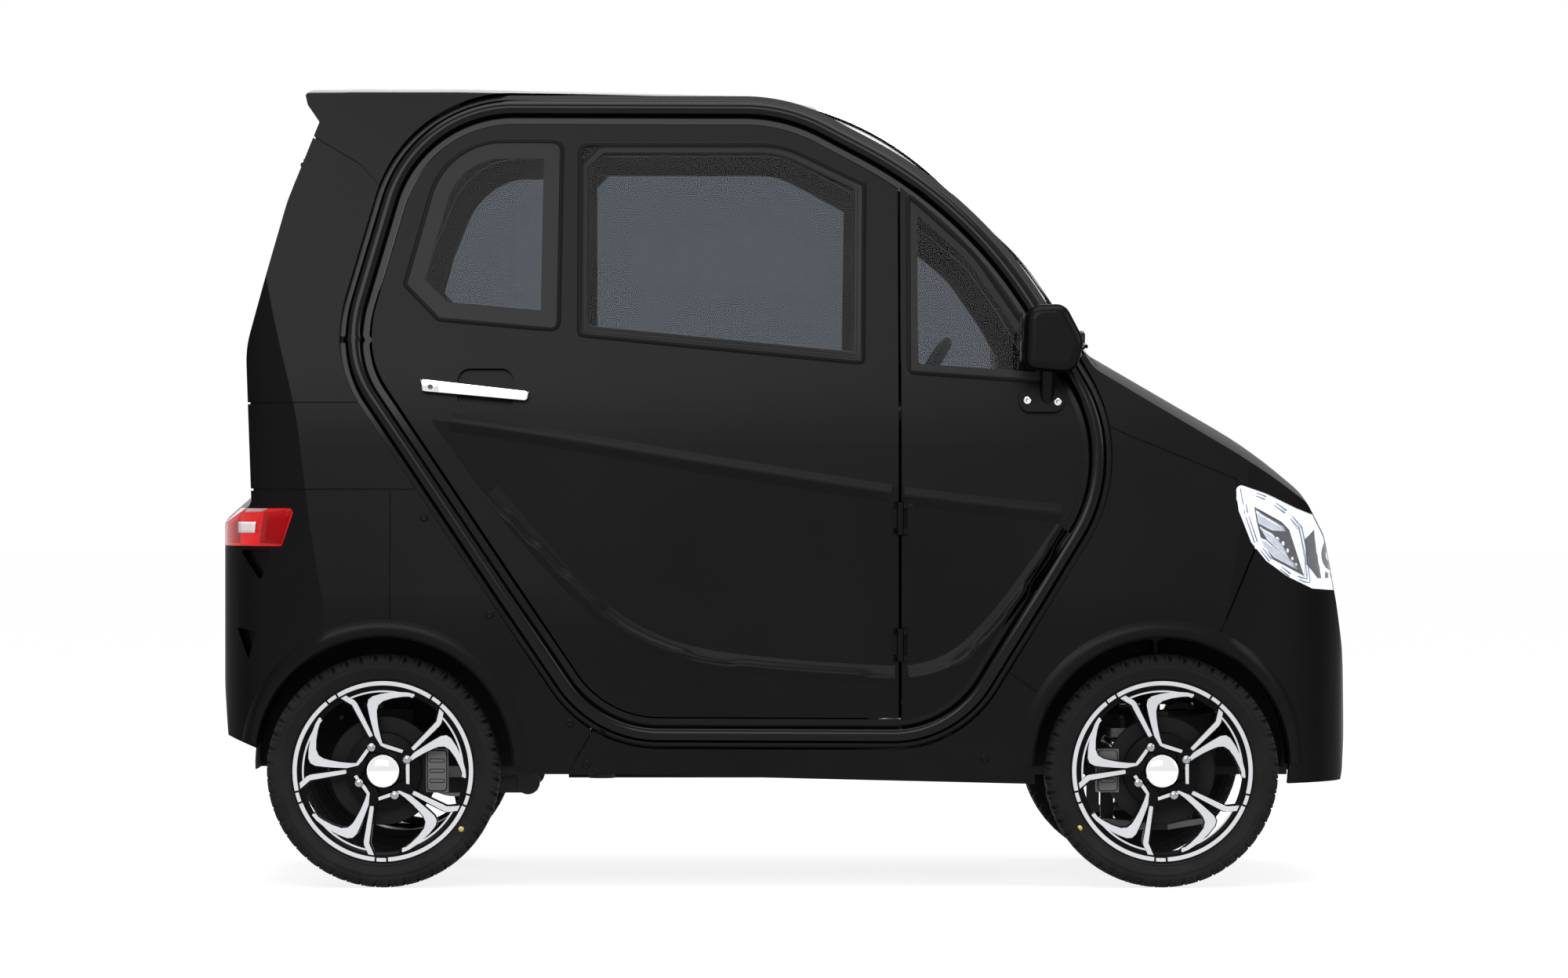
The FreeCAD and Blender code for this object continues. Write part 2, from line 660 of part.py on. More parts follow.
TYRE_PROFILE = [
    ("%s + sizes.running_gap" % bead, "-(%s) + %s" % (edge, LIP + 0.3)),
    ("sizes.rim_radius + 0.3", "-(%s) + %s" % (edge, LIP + 0.3)), ("sizes.rim_radius + 4",
                                                                   "-sizes.tyre_width / 2 + 4"),
    ("sizes.tyre_radius - 24", "-sizes.tyre_width / 2"), ("sizes.tyre_radius - 8",
                                                          "-sizes.tyre_width / 2 + 3"),
    ("sizes.tyre_radius", "-sizes.tyre_width / 2 + 14"), ("sizes.tyre_radius", "sizes.tyre_width / 2 - 14"),
    ("sizes.tyre_radius - 8", "sizes.tyre_width / 2 - 3"), ("sizes.tyre_radius - 24", "sizes.tyre_width / 2"),
    ("sizes.rim_radius + 4", "sizes.tyre_width / 2 - 4"), ("sizes.rim_radius + 0.3", "%s - %s" % (edge,
                                                                                                  LIP + 0.3)),
    ("%s + sizes.running_gap" % bead, "%s - %s" % (edge, LIP + 0.3)),
]
BLADES = {
    "thin": [
        (-0.514, 0.815), (-0.472, 0.782), (-0.352, 0.714), (-0.171, 0.382), (-0.122, 0.210), (-0.044, 0.221),
        (-0.091, 0.390), (-0.232, 0.666), (-0.269, 0.738), (-0.296, 0.769), (-0.384, 0.812), (-0.420, 0.856),
    ],
    "hooked": [
        (-0.099, 0.387), (-0.135, 0.517), (-0.164, 0.631), (-0.182, 0.724), (-0.171, 0.788), (-0.124, 0.829),
        (-0.019, 0.859), (0.143, 0.880), (0.276, 0.887), (0.398, 0.862), (0.387, 0.820), (0.343, 0.808),
        (0.214, 0.806), (0.102, 0.788), (0.008, 0.756), (-0.042, 0.715), (-0.057, 0.658), (-0.053, 0.588),
        (-0.040, 0.487), (-0.015, 0.376), (0.044, 0.276), (0.055, 0.199), (-0.077, 0.199),
    ],
}
SPOKES = 5
for place, x, side in WHEELS:
    wheel = doc.addObject("PartDesign::Body", "wheel_" + place)
    rim = revolved(wheel, "rim_" + place, sketch_outline(wheel, "rim_outline_" + place, "XZ_Plane",
                                                         RIM_PROFILE))
    hub = revolved(wheel, "hub_" + place, sketch_outline(wheel, "hub_outline_" + place, "XZ_Plane",
                                                         HUB_PROFILE))
    for kind, parts in BLADES.items():
        corners = [("sizes.rim_radius * %s" % u, "sizes.rim_radius * %s" % v) for u, v in parts]
        blade_sketch = sketch_outline(wheel, "%s_outline_%s" % (kind, place), "XY_Plane", corners, 26)
        blade = wheel.newObject("PartDesign::Pad", "%s_blade_%s" % (kind, place))
        blade.Profile = blade_sketch
        blade.setExpression("Length", "sizes.rim_width / 2 - 30")
        doc.recompute()
        pattern = wheel.newObject("PartDesign::PolarPattern", "%s_blades_%s" % (kind, place))
        pattern.Originals = [blade]
        pattern.Axis = (origin_plane(wheel, "Z_Axis"), [""])
        pattern.Angle = 360
        pattern.Occurrences = SPOKES
        wheel.Tip = pattern
    put_wheel(wheel, x, side)
    keep(wheel, "wheel_" + place)
    tyre = doc.addObject("PartDesign::Body", "tyre_" + place)
    revolved(tyre, "tyre_ring_" + place, sketch_outline(tyre, "tyre_outline_" + place, "XZ_Plane",
                                                        TYRE_PROFILE))
    put_wheel(tyre, x, side)
    keep(tyre, "tyre_" + place)

# Knuckles and front suspension

FRONT = "sizes.front_axle_x"
UPRIGHT_HALF = 22
UPRIGHT_LOW = "sizes.lower_arm_z + sizes.arm_thickness + 5"
UPRIGHT_HIGH = "sizes.upper_arm_z - 5"
INNER_FACE = "sizes.kingpin_y - 18"
OUTER_FACE = "sizes.kingpin_y + 14"


CALIPER_GRIP = 24
CALIPER_REACH = 20
CALIPER_DEPTH = 42
CALIPER_HEIGHT = 86
CALIPER_OUT = 28
DISC_GAP = 5
BRIDGE_HOLD = 6
BRIDGE_SHORT = 8


def upright_parts(tag, x, caliper_side):
    """Upright, stub axle and brake caliper of one corner, on the right side."""
    upright = block("upright_" + tag, 2 * UPRIGHT_HALF, "%s - (%s)" % (OUTER_FACE, INNER_FACE),
                    "%s - (%s)" % (UPRIGHT_HIGH, UPRIGHT_LOW),
                    ("%s - %d" % (x, UPRIGHT_HALF), "-(%s)" % OUTER_FACE, UPRIGHT_LOW))
    stub = rod_along_y("stub_" + tag, "sizes.stub_radius", "38",
                       (x, "-(%s) - 38" % OUTER_FACE, "sizes.axle_z"))
    inner_edge = "sizes.disc_radius - %d" % CALIPER_GRIP
    outer_edge = "sizes.disc_radius + %d" % CALIPER_REACH
    near_disc = "sizes.disc_radius + %d" % DISC_GAP
    if caliper_side > 0:
        caliper_x = "%s + %s" % (x, inner_edge)
        slot_x = "%s - %d" % (caliper_x, DISC_GAP)
        bridge_x = x
        bridge_length = "%s + %d" % (inner_edge, BRIDGE_HOLD)
    else:
        caliper_x = "%s - (%s)" % (x, outer_edge)
        slot_x = "%s - (%s)" % (x, near_disc)
        bridge_x = "%s - (sizes.disc_radius - %d)" % (x, BRIDGE_SHORT)
        bridge_length = "sizes.disc_radius - %d" % BRIDGE_SHORT
    caliper = block("caliper_" + tag, CALIPER_GRIP + CALIPER_REACH, CALIPER_DEPTH, CALIPER_HEIGHT,
                    (caliper_x, "-(%s) - %d" % (OUTER_FACE, CALIPER_OUT), "sizes.axle_z - %d" % (CALIPER_HEIGHT / 2)))
    slot = block("slot_" + tag, CALIPER_GRIP + 2 * DISC_GAP, "sizes.disc_thickness + 6", 100,
                 (slot_x, "-sizes.wheel_plane_y - 5 - sizes.disc_thickness", "sizes.axle_z - 50"))
    bridge = block("bridge_" + tag, bridge_length, 14, 30,
                   (bridge_x, "-(%s)" % OUTER_FACE, "sizes.axle_z - 15"))
    open_caliper = doc.addObject("Part::Cut", "open_caliper_" + tag)
    open_caliper.Base = caliper
    open_caliper.Tool = slot
    return [upright, stub, open_caliper, bridge]


def ball_pins():
    """The two ball-joint pins on the kingpin axis, just clear of the control arms."""
    low_pin = post("low_pin", 9, "%s - sizes.lower_arm_z - sizes.arm_thickness" % UPRIGHT_LOW,
                   (FRONT, "-sizes.kingpin_y", "sizes.lower_arm_z + sizes.arm_thickness + sizes.running_gap"))
    high_pin = post("high_pin", 9, "sizes.upper_arm_z - sizes.running_gap - (%s)" % UPRIGHT_HIGH,
                    (FRONT, "-sizes.kingpin_y", UPRIGHT_HIGH))
    return [low_pin, high_pin]


TIE_INSET = 20
arm_end_x = "%s - sizes.steer_arm" % FRONT
steer_arm = block("steer_arm", "sizes.steer_arm", 18, 18, (arm_end_x, "-sizes.kingpin_y",
                                                           "sizes.rack_z + 13"))
steer_boss = post("steer_boss", 14, 18, (arm_end_x, "-sizes.kingpin_y + %d" % TIE_INSET, "sizes.rack_z + 13"))
knuckle_right = joined("knuckle_right", upright_parts("front", FRONT, -1) + ball_pins() + [steer_arm,
                                                                                           steer_boss])
keep(knuckle_right, "knuckle_right")
keep(reflected("knuckle_left", knuckle_right), "knuckle_left")
doc.recompute()

rail_y = size("rail_y")
rail_width = size("rail_width")
rail_bottom = size("rail_bottom")
rail_top = rail_bottom + size("rail_height")
kingpin_y = size("kingpin_y")
arm_thickness = size("arm_thickness")
rail_outer = rail_y + rail_width / 2
rail_inner = rail_y - rail_width / 2
ARM_SPREAD = 105
ARM_LEG = 26
BALL_RADIUS = 16


def arm_plate(low_z, inner_y):
    """A V-shaped control arm on the right side, from two pivots to one ball joint."""
    outer_points = [
        (front_axle_x - ARM_SPREAD, -inner_y), (front_axle_x - BALL_RADIUS, -kingpin_y),
        (front_axle_x + BALL_RADIUS, -kingpin_y), (front_axle_x + ARM_SPREAD, -inner_y),
    ]
    inner_points = [
        (front_axle_x - ARM_SPREAD + ARM_LEG, -inner_y), (front_axle_x, -kingpin_y + 3 * ARM_LEG),
        (front_axle_x + ARM_SPREAD - ARM_LEG, -inner_y),
    ]
    plates = []
    for points in (outer_points, inner_points):
        corners = [Vector(x, y, low_z) for x, y in points]
        plates.append(Part.Face(Part.makePolygon(corners + corners[:1])).extrude(Vector(0, 0, arm_thickness)))
    return plates[0].cut(plates[1])


SPRING_SEAT = 0.42


def damper(x, y, low_z, high_z):
    rod = Part.makeCylinder(9, high_z - low_z, Vector(x, y, low_z))
    body = Part.makeCylinder(21, (high_z - low_z) * 0.55, Vector(x, y, low_z))
    seat = Part.makeCylinder(32, 6, Vector(x, y, low_z + (high_z - low_z) * SPRING_SEAT))
    cap = Part.makeCylinder(32, 8, Vector(x, y, high_z - 8))
    return rod.fuse([body, seat, cap])


lower_z = size("lower_arm_z")
upper_z = size("upper_arm_z")
damper_y = 342
lower_arm = arm_plate(lower_z, rail_inner)
upper_arm = arm_plate(upper_z, rail_outer - 14)
CROSS_HALF = 40
cross = Part.makeBox(2 * CROSS_HALF, 32, arm_thickness, Vector(front_axle_x - CROSS_HALF, -damper_y - 16,
                                                               lower_z))
BRACKET_EXTRA = 12
TIE_HOLE_RADIUS = 14
tie_hole = Part.makeCylinder(TIE_HOLE_RADIUS, 800, Vector(front_axle_x - size("steer_arm"), -400,
                                                          size("rack_z")), Vector(0, 1, 0))
brackets = []
for x in (front_axle_x - ARM_SPREAD, front_axle_x + ARM_SPREAD - ARM_LEG):
    brackets.append(Part.makeBox(ARM_LEG, 14, rail_bottom - lower_z - arm_thickness,
                                 Vector(x, -rail_inner - 14, lower_z + arm_thickness)))
    upper_bracket = Part.makeBox(ARM_LEG + 2 * BRACKET_EXTRA, 14, upper_z - rail_top,
                                 Vector(x - BRACKET_EXTRA, -rail_outer, rail_top))
    brackets.append(upper_bracket.cut(tie_hole))
DAMPER_CAP = 32
arch_top = math.sqrt((size("front_arch")) ** 2 - DAMPER_CAP ** 2)
front_damper = damper(front_axle_x, -damper_y, lower_z + arm_thickness, arch_z + arch_top)
front_corner = lower_arm.fuse([cross, upper_arm, front_damper] + brackets)
solid_node("front_suspension", both_sides(front_corner))

# Steering

rack_z = size("rack_z")
rack_x = front_axle_x - size("steer_arm")
bar_radius = size("rack_bar_radius")
gap = size("running_gap")
HOUSING_HALF = 170
HOUSING_RADIUS = 18
housing = Part.makeCylinder(HOUSING_RADIUS, 2 * HOUSING_HALF, Vector(rack_x, -HOUSING_HALF, rack_z),
                            Vector(0, 1, 0))
pedestals = [Part.makeBox(30, 24, rack_z - rail_top - 4, Vector(rack_x - 15, y - 12,
                                                                rail_top)) for y in (-150, 150)]
housing_bore = Part.makeCylinder(bar_radius + gap, 2 * HOUSING_HALF, Vector(rack_x, -HOUSING_HALF,
                                                                            rack_z), Vector(0, 1, 0))
solid_node("rack_housing", housing.fuse(pedestals).cut(housing_bore))
TIE_RADIUS = 7
tie_end = kingpin_y - TIE_INSET
bar = Part.makeCylinder(bar_radius, 2 * (HOUSING_HALF + 60), Vector(rack_x, -HOUSING_HALF - 60, rack_z),
                        Vector(0, 1, 0))
ties = Part.makeCylinder(TIE_RADIUS, 2 * tie_end, Vector(rack_x, -tie_end, rack_z), Vector(0, 1, 0))
balls = [Part.makeSphere(8, Vector(rack_x, y, rack_z)) for y in (-tie_end, tie_end)]
solid_node("steering_rack", bar.fuse([ties] + balls))

wheel_radius = size("steering_wheel_radius")
rim_thick = size("steering_rim_radius")
steering_y = size("steering_y")
COLUMN_TILT = 58
WHEEL_HUB = (250, 950)
steering_turn = Rotation(Vector(0, 1, 0), -COLUMN_TILT)
steering_place = Placement(Vector(WHEEL_HUB[0], steering_y, WHEEL_HUB[1]), steering_turn)
rim_ring = Part.makeTorus(wheel_radius, rim_thick)
boss = Part.makeCylinder(42, 34, Vector(0, 0, -24))
wheel_arms = []
for angle in (0, 180, 270):
    arm = Part.makeBox(wheel_radius - 6, 34, 12, Vector(0, -17, -10))
    arm.rotate(Vector(), Vector(0, 0, 1), angle)
    wheel_arms.append(arm)
solid_node("steering_wheel", rim_ring.fuse([boss] + wheel_arms), steering_place)
column = Part.makeCylinder(20, 235, Vector(0, 0, -260))
shroud = Part.makeCylinder(34, 90, Vector(0, 0, -24 - gap - 90))
firewall_x = size("firewall_x")
floor_wall = size("floor_wall")
column_solid = column.fuse(shroud)
column_solid.Placement = steering_place
column_solid = column_solid.cut(Part.makeBox(200, 400, 600, Vector(firewall_x, 0, 600)))
solid_node("steering_column", column_solid)

# Rear axle, motor and suspension

axle_z = size("axle_z")
rear = "sizes.rear_axle_x"
tube = rod_along_y("axle_tube", "sizes.axle_tube_radius", "%s - 62" % INNER_FACE,
                   (rear, "-(%s)" % INNER_FACE, "sizes.axle_z"))
rear_corner = joined("rear_corner", upright_parts("rear", rear, 1) + [tube])
rear_corner_left = reflected("rear_corner_left", rear_corner)
keep(grouped("rear_axle", [rear_corner, rear_corner_left]), "rear_axle")
gear_case = rod_along_y("gear_case", 70, 124, (rear, -62, "sizes.axle_z"))
motor_case = rod_along_y("motor_case", 78, 220, ("%s + 125" % rear, -110, "sizes.axle_z + 8"))
keep(joined("drive_motor", [gear_case, motor_case]), "drive_motor")
doc.recompute()

load_floor_z = size("load_floor_z")
TRAIL_Y = 214
TRAIL_EYE = (rear_axle_x + 279, axle_z - 36.5)
trail = Part.makeBox(rear_axle_x * -1 + TRAIL_EYE[0], 30, 30, Vector(rear_axle_x, -TRAIL_Y - 15, axle_z - 57))
trail = trail.fuse([
    Part.makeCylinder(24, 30, Vector(TRAIL_EYE[0], -TRAIL_Y - 15, TRAIL_EYE[1]), Vector(0, 1, 0)),
    Part.makeCylinder(34, 30, Vector(rear_axle_x, -TRAIL_Y - 15, axle_z), Vector(0, 1, 0)),
]).cut(Part.makeCylinder(size("axle_tube_radius"), 60, Vector(rear_axle_x, -TRAIL_Y - 30, axle_z),
                         Vector(0, 1, 0)))
rear_damper = damper(rear_axle_x, -TRAIL_Y, axle_z + 33, load_floor_z)
pivot = Part.makeBox(40, rail_inner - TRAIL_Y - 15, 65, Vector(TRAIL_EYE[0] - 20, -rail_inner,
                                                               TRAIL_EYE[1] - 15))
solid_node("rear_suspension", both_sides(trail.fuse([rear_damper, pivot])))

# Chassis, battery and floor

cabin_rear_x = size("cabin_rear_x")
RAIL_FRONT = 1010
RAIL_REAR = -1040
KICK_Z = 300
kick_x = cabin_rear_x - rail_width
rail = Part.makeBox(RAIL_FRONT - kick_x, rail_width, rail_top - rail_bottom, Vector(kick_x, -rail_outer,
                                                                                    rail_bottom))
kick = Part.makeBox(rail_width, rail_width, KICK_Z - rail_bottom, Vector(kick_x, -rail_outer, rail_bottom))
rear_rail = Part.makeBox(cabin_rear_x - RAIL_REAR, rail_width, size("rail_height"),
                         Vector(RAIL_REAR, -rail_outer, KICK_Z))
rails = [rail.fuse([kick, rear_rail])]
rails.append(mirrored(rails[0]))
crosses = []
for x, z in ((cabin_rear_x + 64, rail_bottom), (rack_x - 20, rail_bottom), (RAIL_FRONT - 44,
                                                                            rail_bottom), (RAIL_REAR,
                                                                                           KICK_Z)):
    crosses.append(Part.makeBox(40, 2 * rail_inner, rail_top - rail_bottom, Vector(x, -rail_inner, z)))
JACK_PAD_RADIUS = 26
JACK_PAD_HEIGHT = 8
jack_pads = [
    Part.makeCylinder(JACK_PAD_RADIUS, JACK_PAD_HEIGHT, Vector(x, y, rail_bottom - JACK_PAD_HEIGHT))
    for x in (cabin_rear_x + 180, rack_x - 200) for y in (-rail_y, rail_y)
]
solid_node("chassis_frame", rails[0].fuse([rails[1]] + crosses + jack_pads).removeSplitter())

BATTERY = (cabin_rear_x + 112, 420, 205, 204)
solid_node("battery", Part.makeBox(BATTERY[1] - BATTERY[0], 2 * BATTERY[2], rail_top - BATTERY[3],
                                   Vector(BATTERY[0], -BATTERY[2], BATTERY[3])))

inside = body_form(shell_wall, 100).common(side_form(side_wall))
floor = Part.makeBox(firewall_x - cabin_rear_x, 1200, floor_wall, Vector(cabin_rear_x, -600,
                                                                         rail_top)).common(hollow)
FIREWALL_TOP = 880
firewall = Part.makeBox(floor_wall, 1200, FIREWALL_TOP - rail_top, Vector(firewall_x, -600, rail_top))
riser = Part.makeBox(floor_wall, 1200, load_floor_z - rail_top, Vector(cabin_rear_x, -600, rail_top))
load_floor = Part.makeBox(cabin_rear_x + floor_wall + 1120, 1200, floor_wall, Vector(-1120, -600,
                                                                                     load_floor_z))
tub = floor.fuse([firewall.common(inside), riser.common(inside), load_floor.common(inside)])
arch_clear = []
for arch_x, alias in ((rear_axle_x, "rear_arch"), (front_axle_x, "front_arch")):
    for low_y in (-700, size("liner_inner_y")):
        arch_clear.append(Part.makeCylinder(size(alias) + size("liner_wall"), 700 - size("liner_inner_y"),
                                            Vector(arch_x, low_y, arch_z), Vector(0, 1, 0)))
for tool in arch_clear:
    tub = tub.cut(tool)
tub = biggest(tub)
solid_node("floor_tub", tub)

liners = []
liner_wall = size("liner_wall")
inner_y = size("liner_inner_y")
for arch_x, alias, half_window in ((rear_axle_x, "rear_arch", 50), (front_axle_x, "front_arch",
                                                                    ARM_SPREAD + 18)):
    radius = size(alias)
    solid = Part.makeCylinder(radius + liner_wall, 600 - inner_y, Vector(arch_x, -600, arch_z), Vector(0,
                                                                                                       1, 0))
    space = Part.makeCylinder(radius, 600 - inner_y - liner_wall, Vector(arch_x, -600, arch_z), Vector(0,
                                                                                                       1, 0))
    window_tool = Part.makeBox(2 * half_window, 60, 260, Vector(arch_x - half_window, -inner_y - 40,
                                                                upper_z + 24 - 260))
    below = Part.makeBox(800, 400, 300, Vector(arch_x - 400, -650, axle_z - 300))
    liners.append(biggest(solid.cut(space).cut(window_tool).cut(below).common(hollow)))
solid_node("wheel_liners", Part.Compound(liners + [mirrored(liner) for liner in liners]))

# Cabin

DASH = [
    (466, 760, 0), (330, 760, 30), (300, 850, 40), (318, 925, 40), (466, 975, 0),
]
dash = full_prism(DASH).common(side_form(side_wall + 12)).cut(firewall)
column_hole = Part.makeCylinder(34 + 0.5, 400, Vector(0, 0, -400))
column_hole.Placement = steering_place
solid_node("dashboard", biggest(dash.cut(column_hole)))

SEAT_CUSHION = [(-250, 470, 30), (190, 470, 40), (205, 590, 45), (-250, 560, 20)]
SEAT_BACK = [(-262, 530, 15), (-150, 530, 20), (-262, 1120, 45), (-350, 1110, 40)]
SEAT_BASE = [(-210, rail_top + floor_wall, 0), (150, rail_top + floor_wall, 0), (150, 480, 0), (-210, 480, 0)]
half_seat = size("seat_half_width")


def seat_solid(points, half):
    return side_prism(points, -half, half)


cushion = seat_solid(SEAT_CUSHION, half_seat)
front_seat = cushion.fuse(seat_solid(SEAT_BACK, half_seat))
solid_node("front_seat", front_seat.fuse(seat_solid(SEAT_BASE, half_seat - 40)))
REAR_CUSHION = [(-880, 520.3, 10), (-560, 520.3, 30), (-550, 620, 40), (-880, 600, 20)]
REAR_BACK = [(-880, 600, 10), (-790, 610, 30), (-880, 1040, 40), (-960, 1030, 40)]
REAR_HALF = 290
solid_node("rear_seat", seat_solid(REAR_CUSHION, REAR_HALF).fuse(seat_solid(REAR_BACK, REAR_HALF)))

# Fittings on the skin

def raised(points, height, outset=0):
    """A pad standing on the side skin of the right side."""
    return side_prism(points, outset=outset).common(side_form(-height)).cut(side_form(0))


HANDLE = [(-728, 1009, 6), (-722, 983, 6), (-515, 964, 8), (-511, 984, 8)]
HANDLE_FEET = ([(-726, 1006, 0), (-721, 985, 0), (-690, 982, 0), (-690, 1003, 0)],
               [(-540, 986, 0), (-540, 969, 0), (-517, 967, 0), (-513, 982, 0)])
HANDLE_GAP = 7
HANDLE_OUT = 21
HANDLE_ROUND = 5
handle_bar = biggest(side_prism(HANDLE).common(side_form(-HANDLE_OUT)).cut(side_form(-HANDLE_GAP)))
handle_bar = handle_bar.makeFillet(HANDLE_ROUND, handle_bar.Edges)
handle_feet = [raised(foot, HANDLE_GAP + 5) for foot in HANDLE_FEET]
handle = handle_bar.fuse(handle_feet)
for side, turn in (("right", lambda shape: shape), ("left", mirrored)):
    solid_node("door_handle_" + side, turn(biggest(handle)))
MIRROR_BASE = [(457, 990, 22), (457, 943, 22), (546, 943, 22), (546, 990, 22)]
MIRROR_SHELL = [(466, 1150, 30), (462, 1026, 20), (560, 1017, 30), (578, 1080, 40), (540, 1153, 30)]
base = biggest(raised(MIRROR_BASE, 16))
stem = Part.makeCylinder(14, 120, Vector(512, -546, 960), Vector(0, -0.45, 1))
MIRROR_ROUND = 18
mirror_shell = side_prism(MIRROR_SHELL, -720, -585)
mirror_shell = mirror_shell.makeFillet(MIRROR_ROUND, mirror_shell.Edges)
mirror = base.fuse([stem.cut(side_form(0)), mirror_shell])
solid_node("mirrors", both_sides(mirror))
WIPER_PIVOT = Vector(598, 130, 1064)
WIPER_TIP = Vector(590, -200, 1106)
screen_normal = Vector(202, 0, 138).normalize()
wiper_pivot = Part.makeCylinder(9, 30, WIPER_PIVOT, screen_normal)
arm_start = WIPER_PIVOT + screen_normal * 24
wiper_arm = Part.makeCylinder(5, (WIPER_TIP - arm_start).Length, arm_start, WIPER_TIP - arm_start)
solid_node("wiper", biggest(wiper_pivot.fuse(wiper_arm).cut(outer)))

# Check and write

doc.recompute()
os.makedirs("parts", exist_ok=True)
for item in doc.Objects:
    if "Invalid" in item.State or "Error" in item.State:
        raise RuntimeError("failed: " + item.Label)
for item in nodes:
    if item.Shape.isNull() or not item.Shape.isValid():
        raise RuntimeError("bad shape: " + item.Label)
for item in nodes:
    item.Shape.exportStep("parts/%s.step" % item.Label)
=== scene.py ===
"""Looks of the enclosed electric microcar: finishes, tread, lamps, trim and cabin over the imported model."""

import json
import math

import bmesh
import bpy
from mathutils import Matrix, Vector
from mathutils.bvhtree import BVHTree


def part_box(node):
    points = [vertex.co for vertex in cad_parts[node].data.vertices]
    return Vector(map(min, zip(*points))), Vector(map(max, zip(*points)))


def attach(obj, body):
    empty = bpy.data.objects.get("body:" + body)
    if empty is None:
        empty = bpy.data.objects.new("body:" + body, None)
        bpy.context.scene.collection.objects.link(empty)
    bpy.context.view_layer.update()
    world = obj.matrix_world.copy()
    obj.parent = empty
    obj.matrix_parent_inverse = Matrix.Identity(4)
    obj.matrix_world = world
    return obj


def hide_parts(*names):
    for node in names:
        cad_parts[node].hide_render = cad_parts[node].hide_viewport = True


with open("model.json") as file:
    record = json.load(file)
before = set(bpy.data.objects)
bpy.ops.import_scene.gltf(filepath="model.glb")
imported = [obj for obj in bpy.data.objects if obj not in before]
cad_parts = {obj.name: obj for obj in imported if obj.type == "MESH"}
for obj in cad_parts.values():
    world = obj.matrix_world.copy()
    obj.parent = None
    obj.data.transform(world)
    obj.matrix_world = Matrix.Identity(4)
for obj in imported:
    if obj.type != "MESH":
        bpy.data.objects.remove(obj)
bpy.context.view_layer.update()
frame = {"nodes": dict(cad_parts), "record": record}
nodes = frame["nodes"]

# Camera, taken from the photograph: straight onto the right side, at mid height

IMAGE_WIDTH = 2000
IMAGE_HEIGHT = 1248
CENTRE_X_PX = 892
CENTRE_Y_PX = 610
CAMERA_PLACE = (-0.175, -13.852, 0.812)
NEAR_PLANE_Y = -0.552
METRES_PER_PX = 0.00155
SENSOR = 36.0


def add_camera():
    data = bpy.data.cameras.new("photo_view")
    camera = bpy.data.objects.new("photo_view", data)
    bpy.context.scene.collection.objects.link(camera)
    camera.location = CAMERA_PLACE
    camera.rotation_euler = (math.radians(90), 0, 0)
    distance = NEAR_PLANE_Y - CAMERA_PLACE[1]
    data.sensor_width = SENSOR
    data.lens = SENSOR * distance / (METRES_PER_PX * IMAGE_WIDTH)
    data.shift_x = (IMAGE_WIDTH / 2 - CENTRE_X_PX) / IMAGE_WIDTH
    data.shift_y = (CENTRE_Y_PX - IMAGE_HEIGHT / 2) / IMAGE_WIDTH
    data.clip_end = 200
    bpy.context.scene.camera = camera


# Studio

def white_seen_by(tree, rays):
    """One for what the camera sees directly, through glass or in a reflection."""
    direct = tree.nodes.new("ShaderNodeMath")
    direct.operation = "MAXIMUM"
    tree.links.new(rays.outputs["Is Camera Ray"], direct.inputs[0])
    tree.links.new(rays.outputs["Is Transmission Ray"], direct.inputs[1])
    either = tree.nodes.new("ShaderNodeMath")
    either.operation = "MAXIMUM"
    tree.links.new(direct.outputs[0], either.inputs[0])
    tree.links.new(rays.outputs["Is Glossy Ray"], either.inputs[1])
    return either.outputs[0]


def add_light(name, place, target, width, height, power):
    data = bpy.data.lights.new(name, "AREA")
    data.shape = "RECTANGLE"
    data.size = width
    data.size_y = height
    data.energy = power
    lamp = bpy.data.objects.new(name, data)
    bpy.context.scene.collection.objects.link(lamp)
    lamp.location = place
    lamp.rotation_euler = (Vector(target) - Vector(place)).to_track_quat("-Z", "Y").to_euler()
    return lamp


def add_studio():
    world = bpy.data.worlds.new("studio")
    bpy.context.scene.world = world
    world.use_nodes = True
    tree = world.node_tree
    background = tree.nodes["Background"]
    rays = tree.nodes.new("ShaderNodeLightPath")
    mix = tree.nodes.new("ShaderNodeMix")
    mix.data_type = "RGBA"
    mix.inputs["A"].default_value = (0.55, 0.55, 0.56, 1)
    mix.inputs["B"].default_value = (1, 1, 1, 1)
    tree.links.new(white_seen_by(tree, rays), mix.inputs["Factor"])
    tree.links.new(mix.outputs["Result"], background.inputs["Color"])
    add_light("overhead_softbox", (0, -1.2, 5.0), (0, 0, 0.6), 5.5, 3.0, 240)
    add_light("side_softbox", (-1.5, -6.5, 3.2), (0, 0, 0.7), 5.0, 2.4, 190)
    add_light("front_softbox", (6.0, -2.5, 3.0), (0.6, 0, 0.6), 2.6, 2.6, 90)
    add_light("far_softbox", (-1.0, 6.5, 3.0), (0, 0, 0.7), 5.0, 2.4, 150)


# Node helpers

def link(tree, source, target):
    tree.links.new(source, target)


def math_node(tree, operation, first, second=None, clamp=False):
    node = tree.nodes.new("ShaderNodeMath")
    node.operation = operation
    node.use_clamp = clamp
    for socket, value in zip(node.inputs, (first, second)):
        if value is None:
            continue
        if isinstance(value, (int, float)):
            socket.default_value = value
        else:
            link(tree, value, socket)
    return node.outputs[0]


def ramp_between(tree, value, low, high):
    node = tree.nodes.new("ShaderNodeMapRange")
    node.inputs["From Min"].default_value = low
    node.inputs["From Max"].default_value = high
    link(tree, value, node.inputs["Value"])
    return node.outputs["Result"]


def new_group(name, inputs, outputs):
    group = bpy.data.node_groups.new(name, "ShaderNodeTree")
    for label, kind, value in inputs:
        socket = group.interface.new_socket(label, in_out="INPUT", socket_type=kind)
        socket.default_value = value
    for label, kind in outputs:
        group.interface.new_socket(label, in_out="OUTPUT", socket_type=kind)
    start = group.nodes.new("NodeGroupInput")
    end = group.nodes.new("NodeGroupOutput")
    return group, start, end


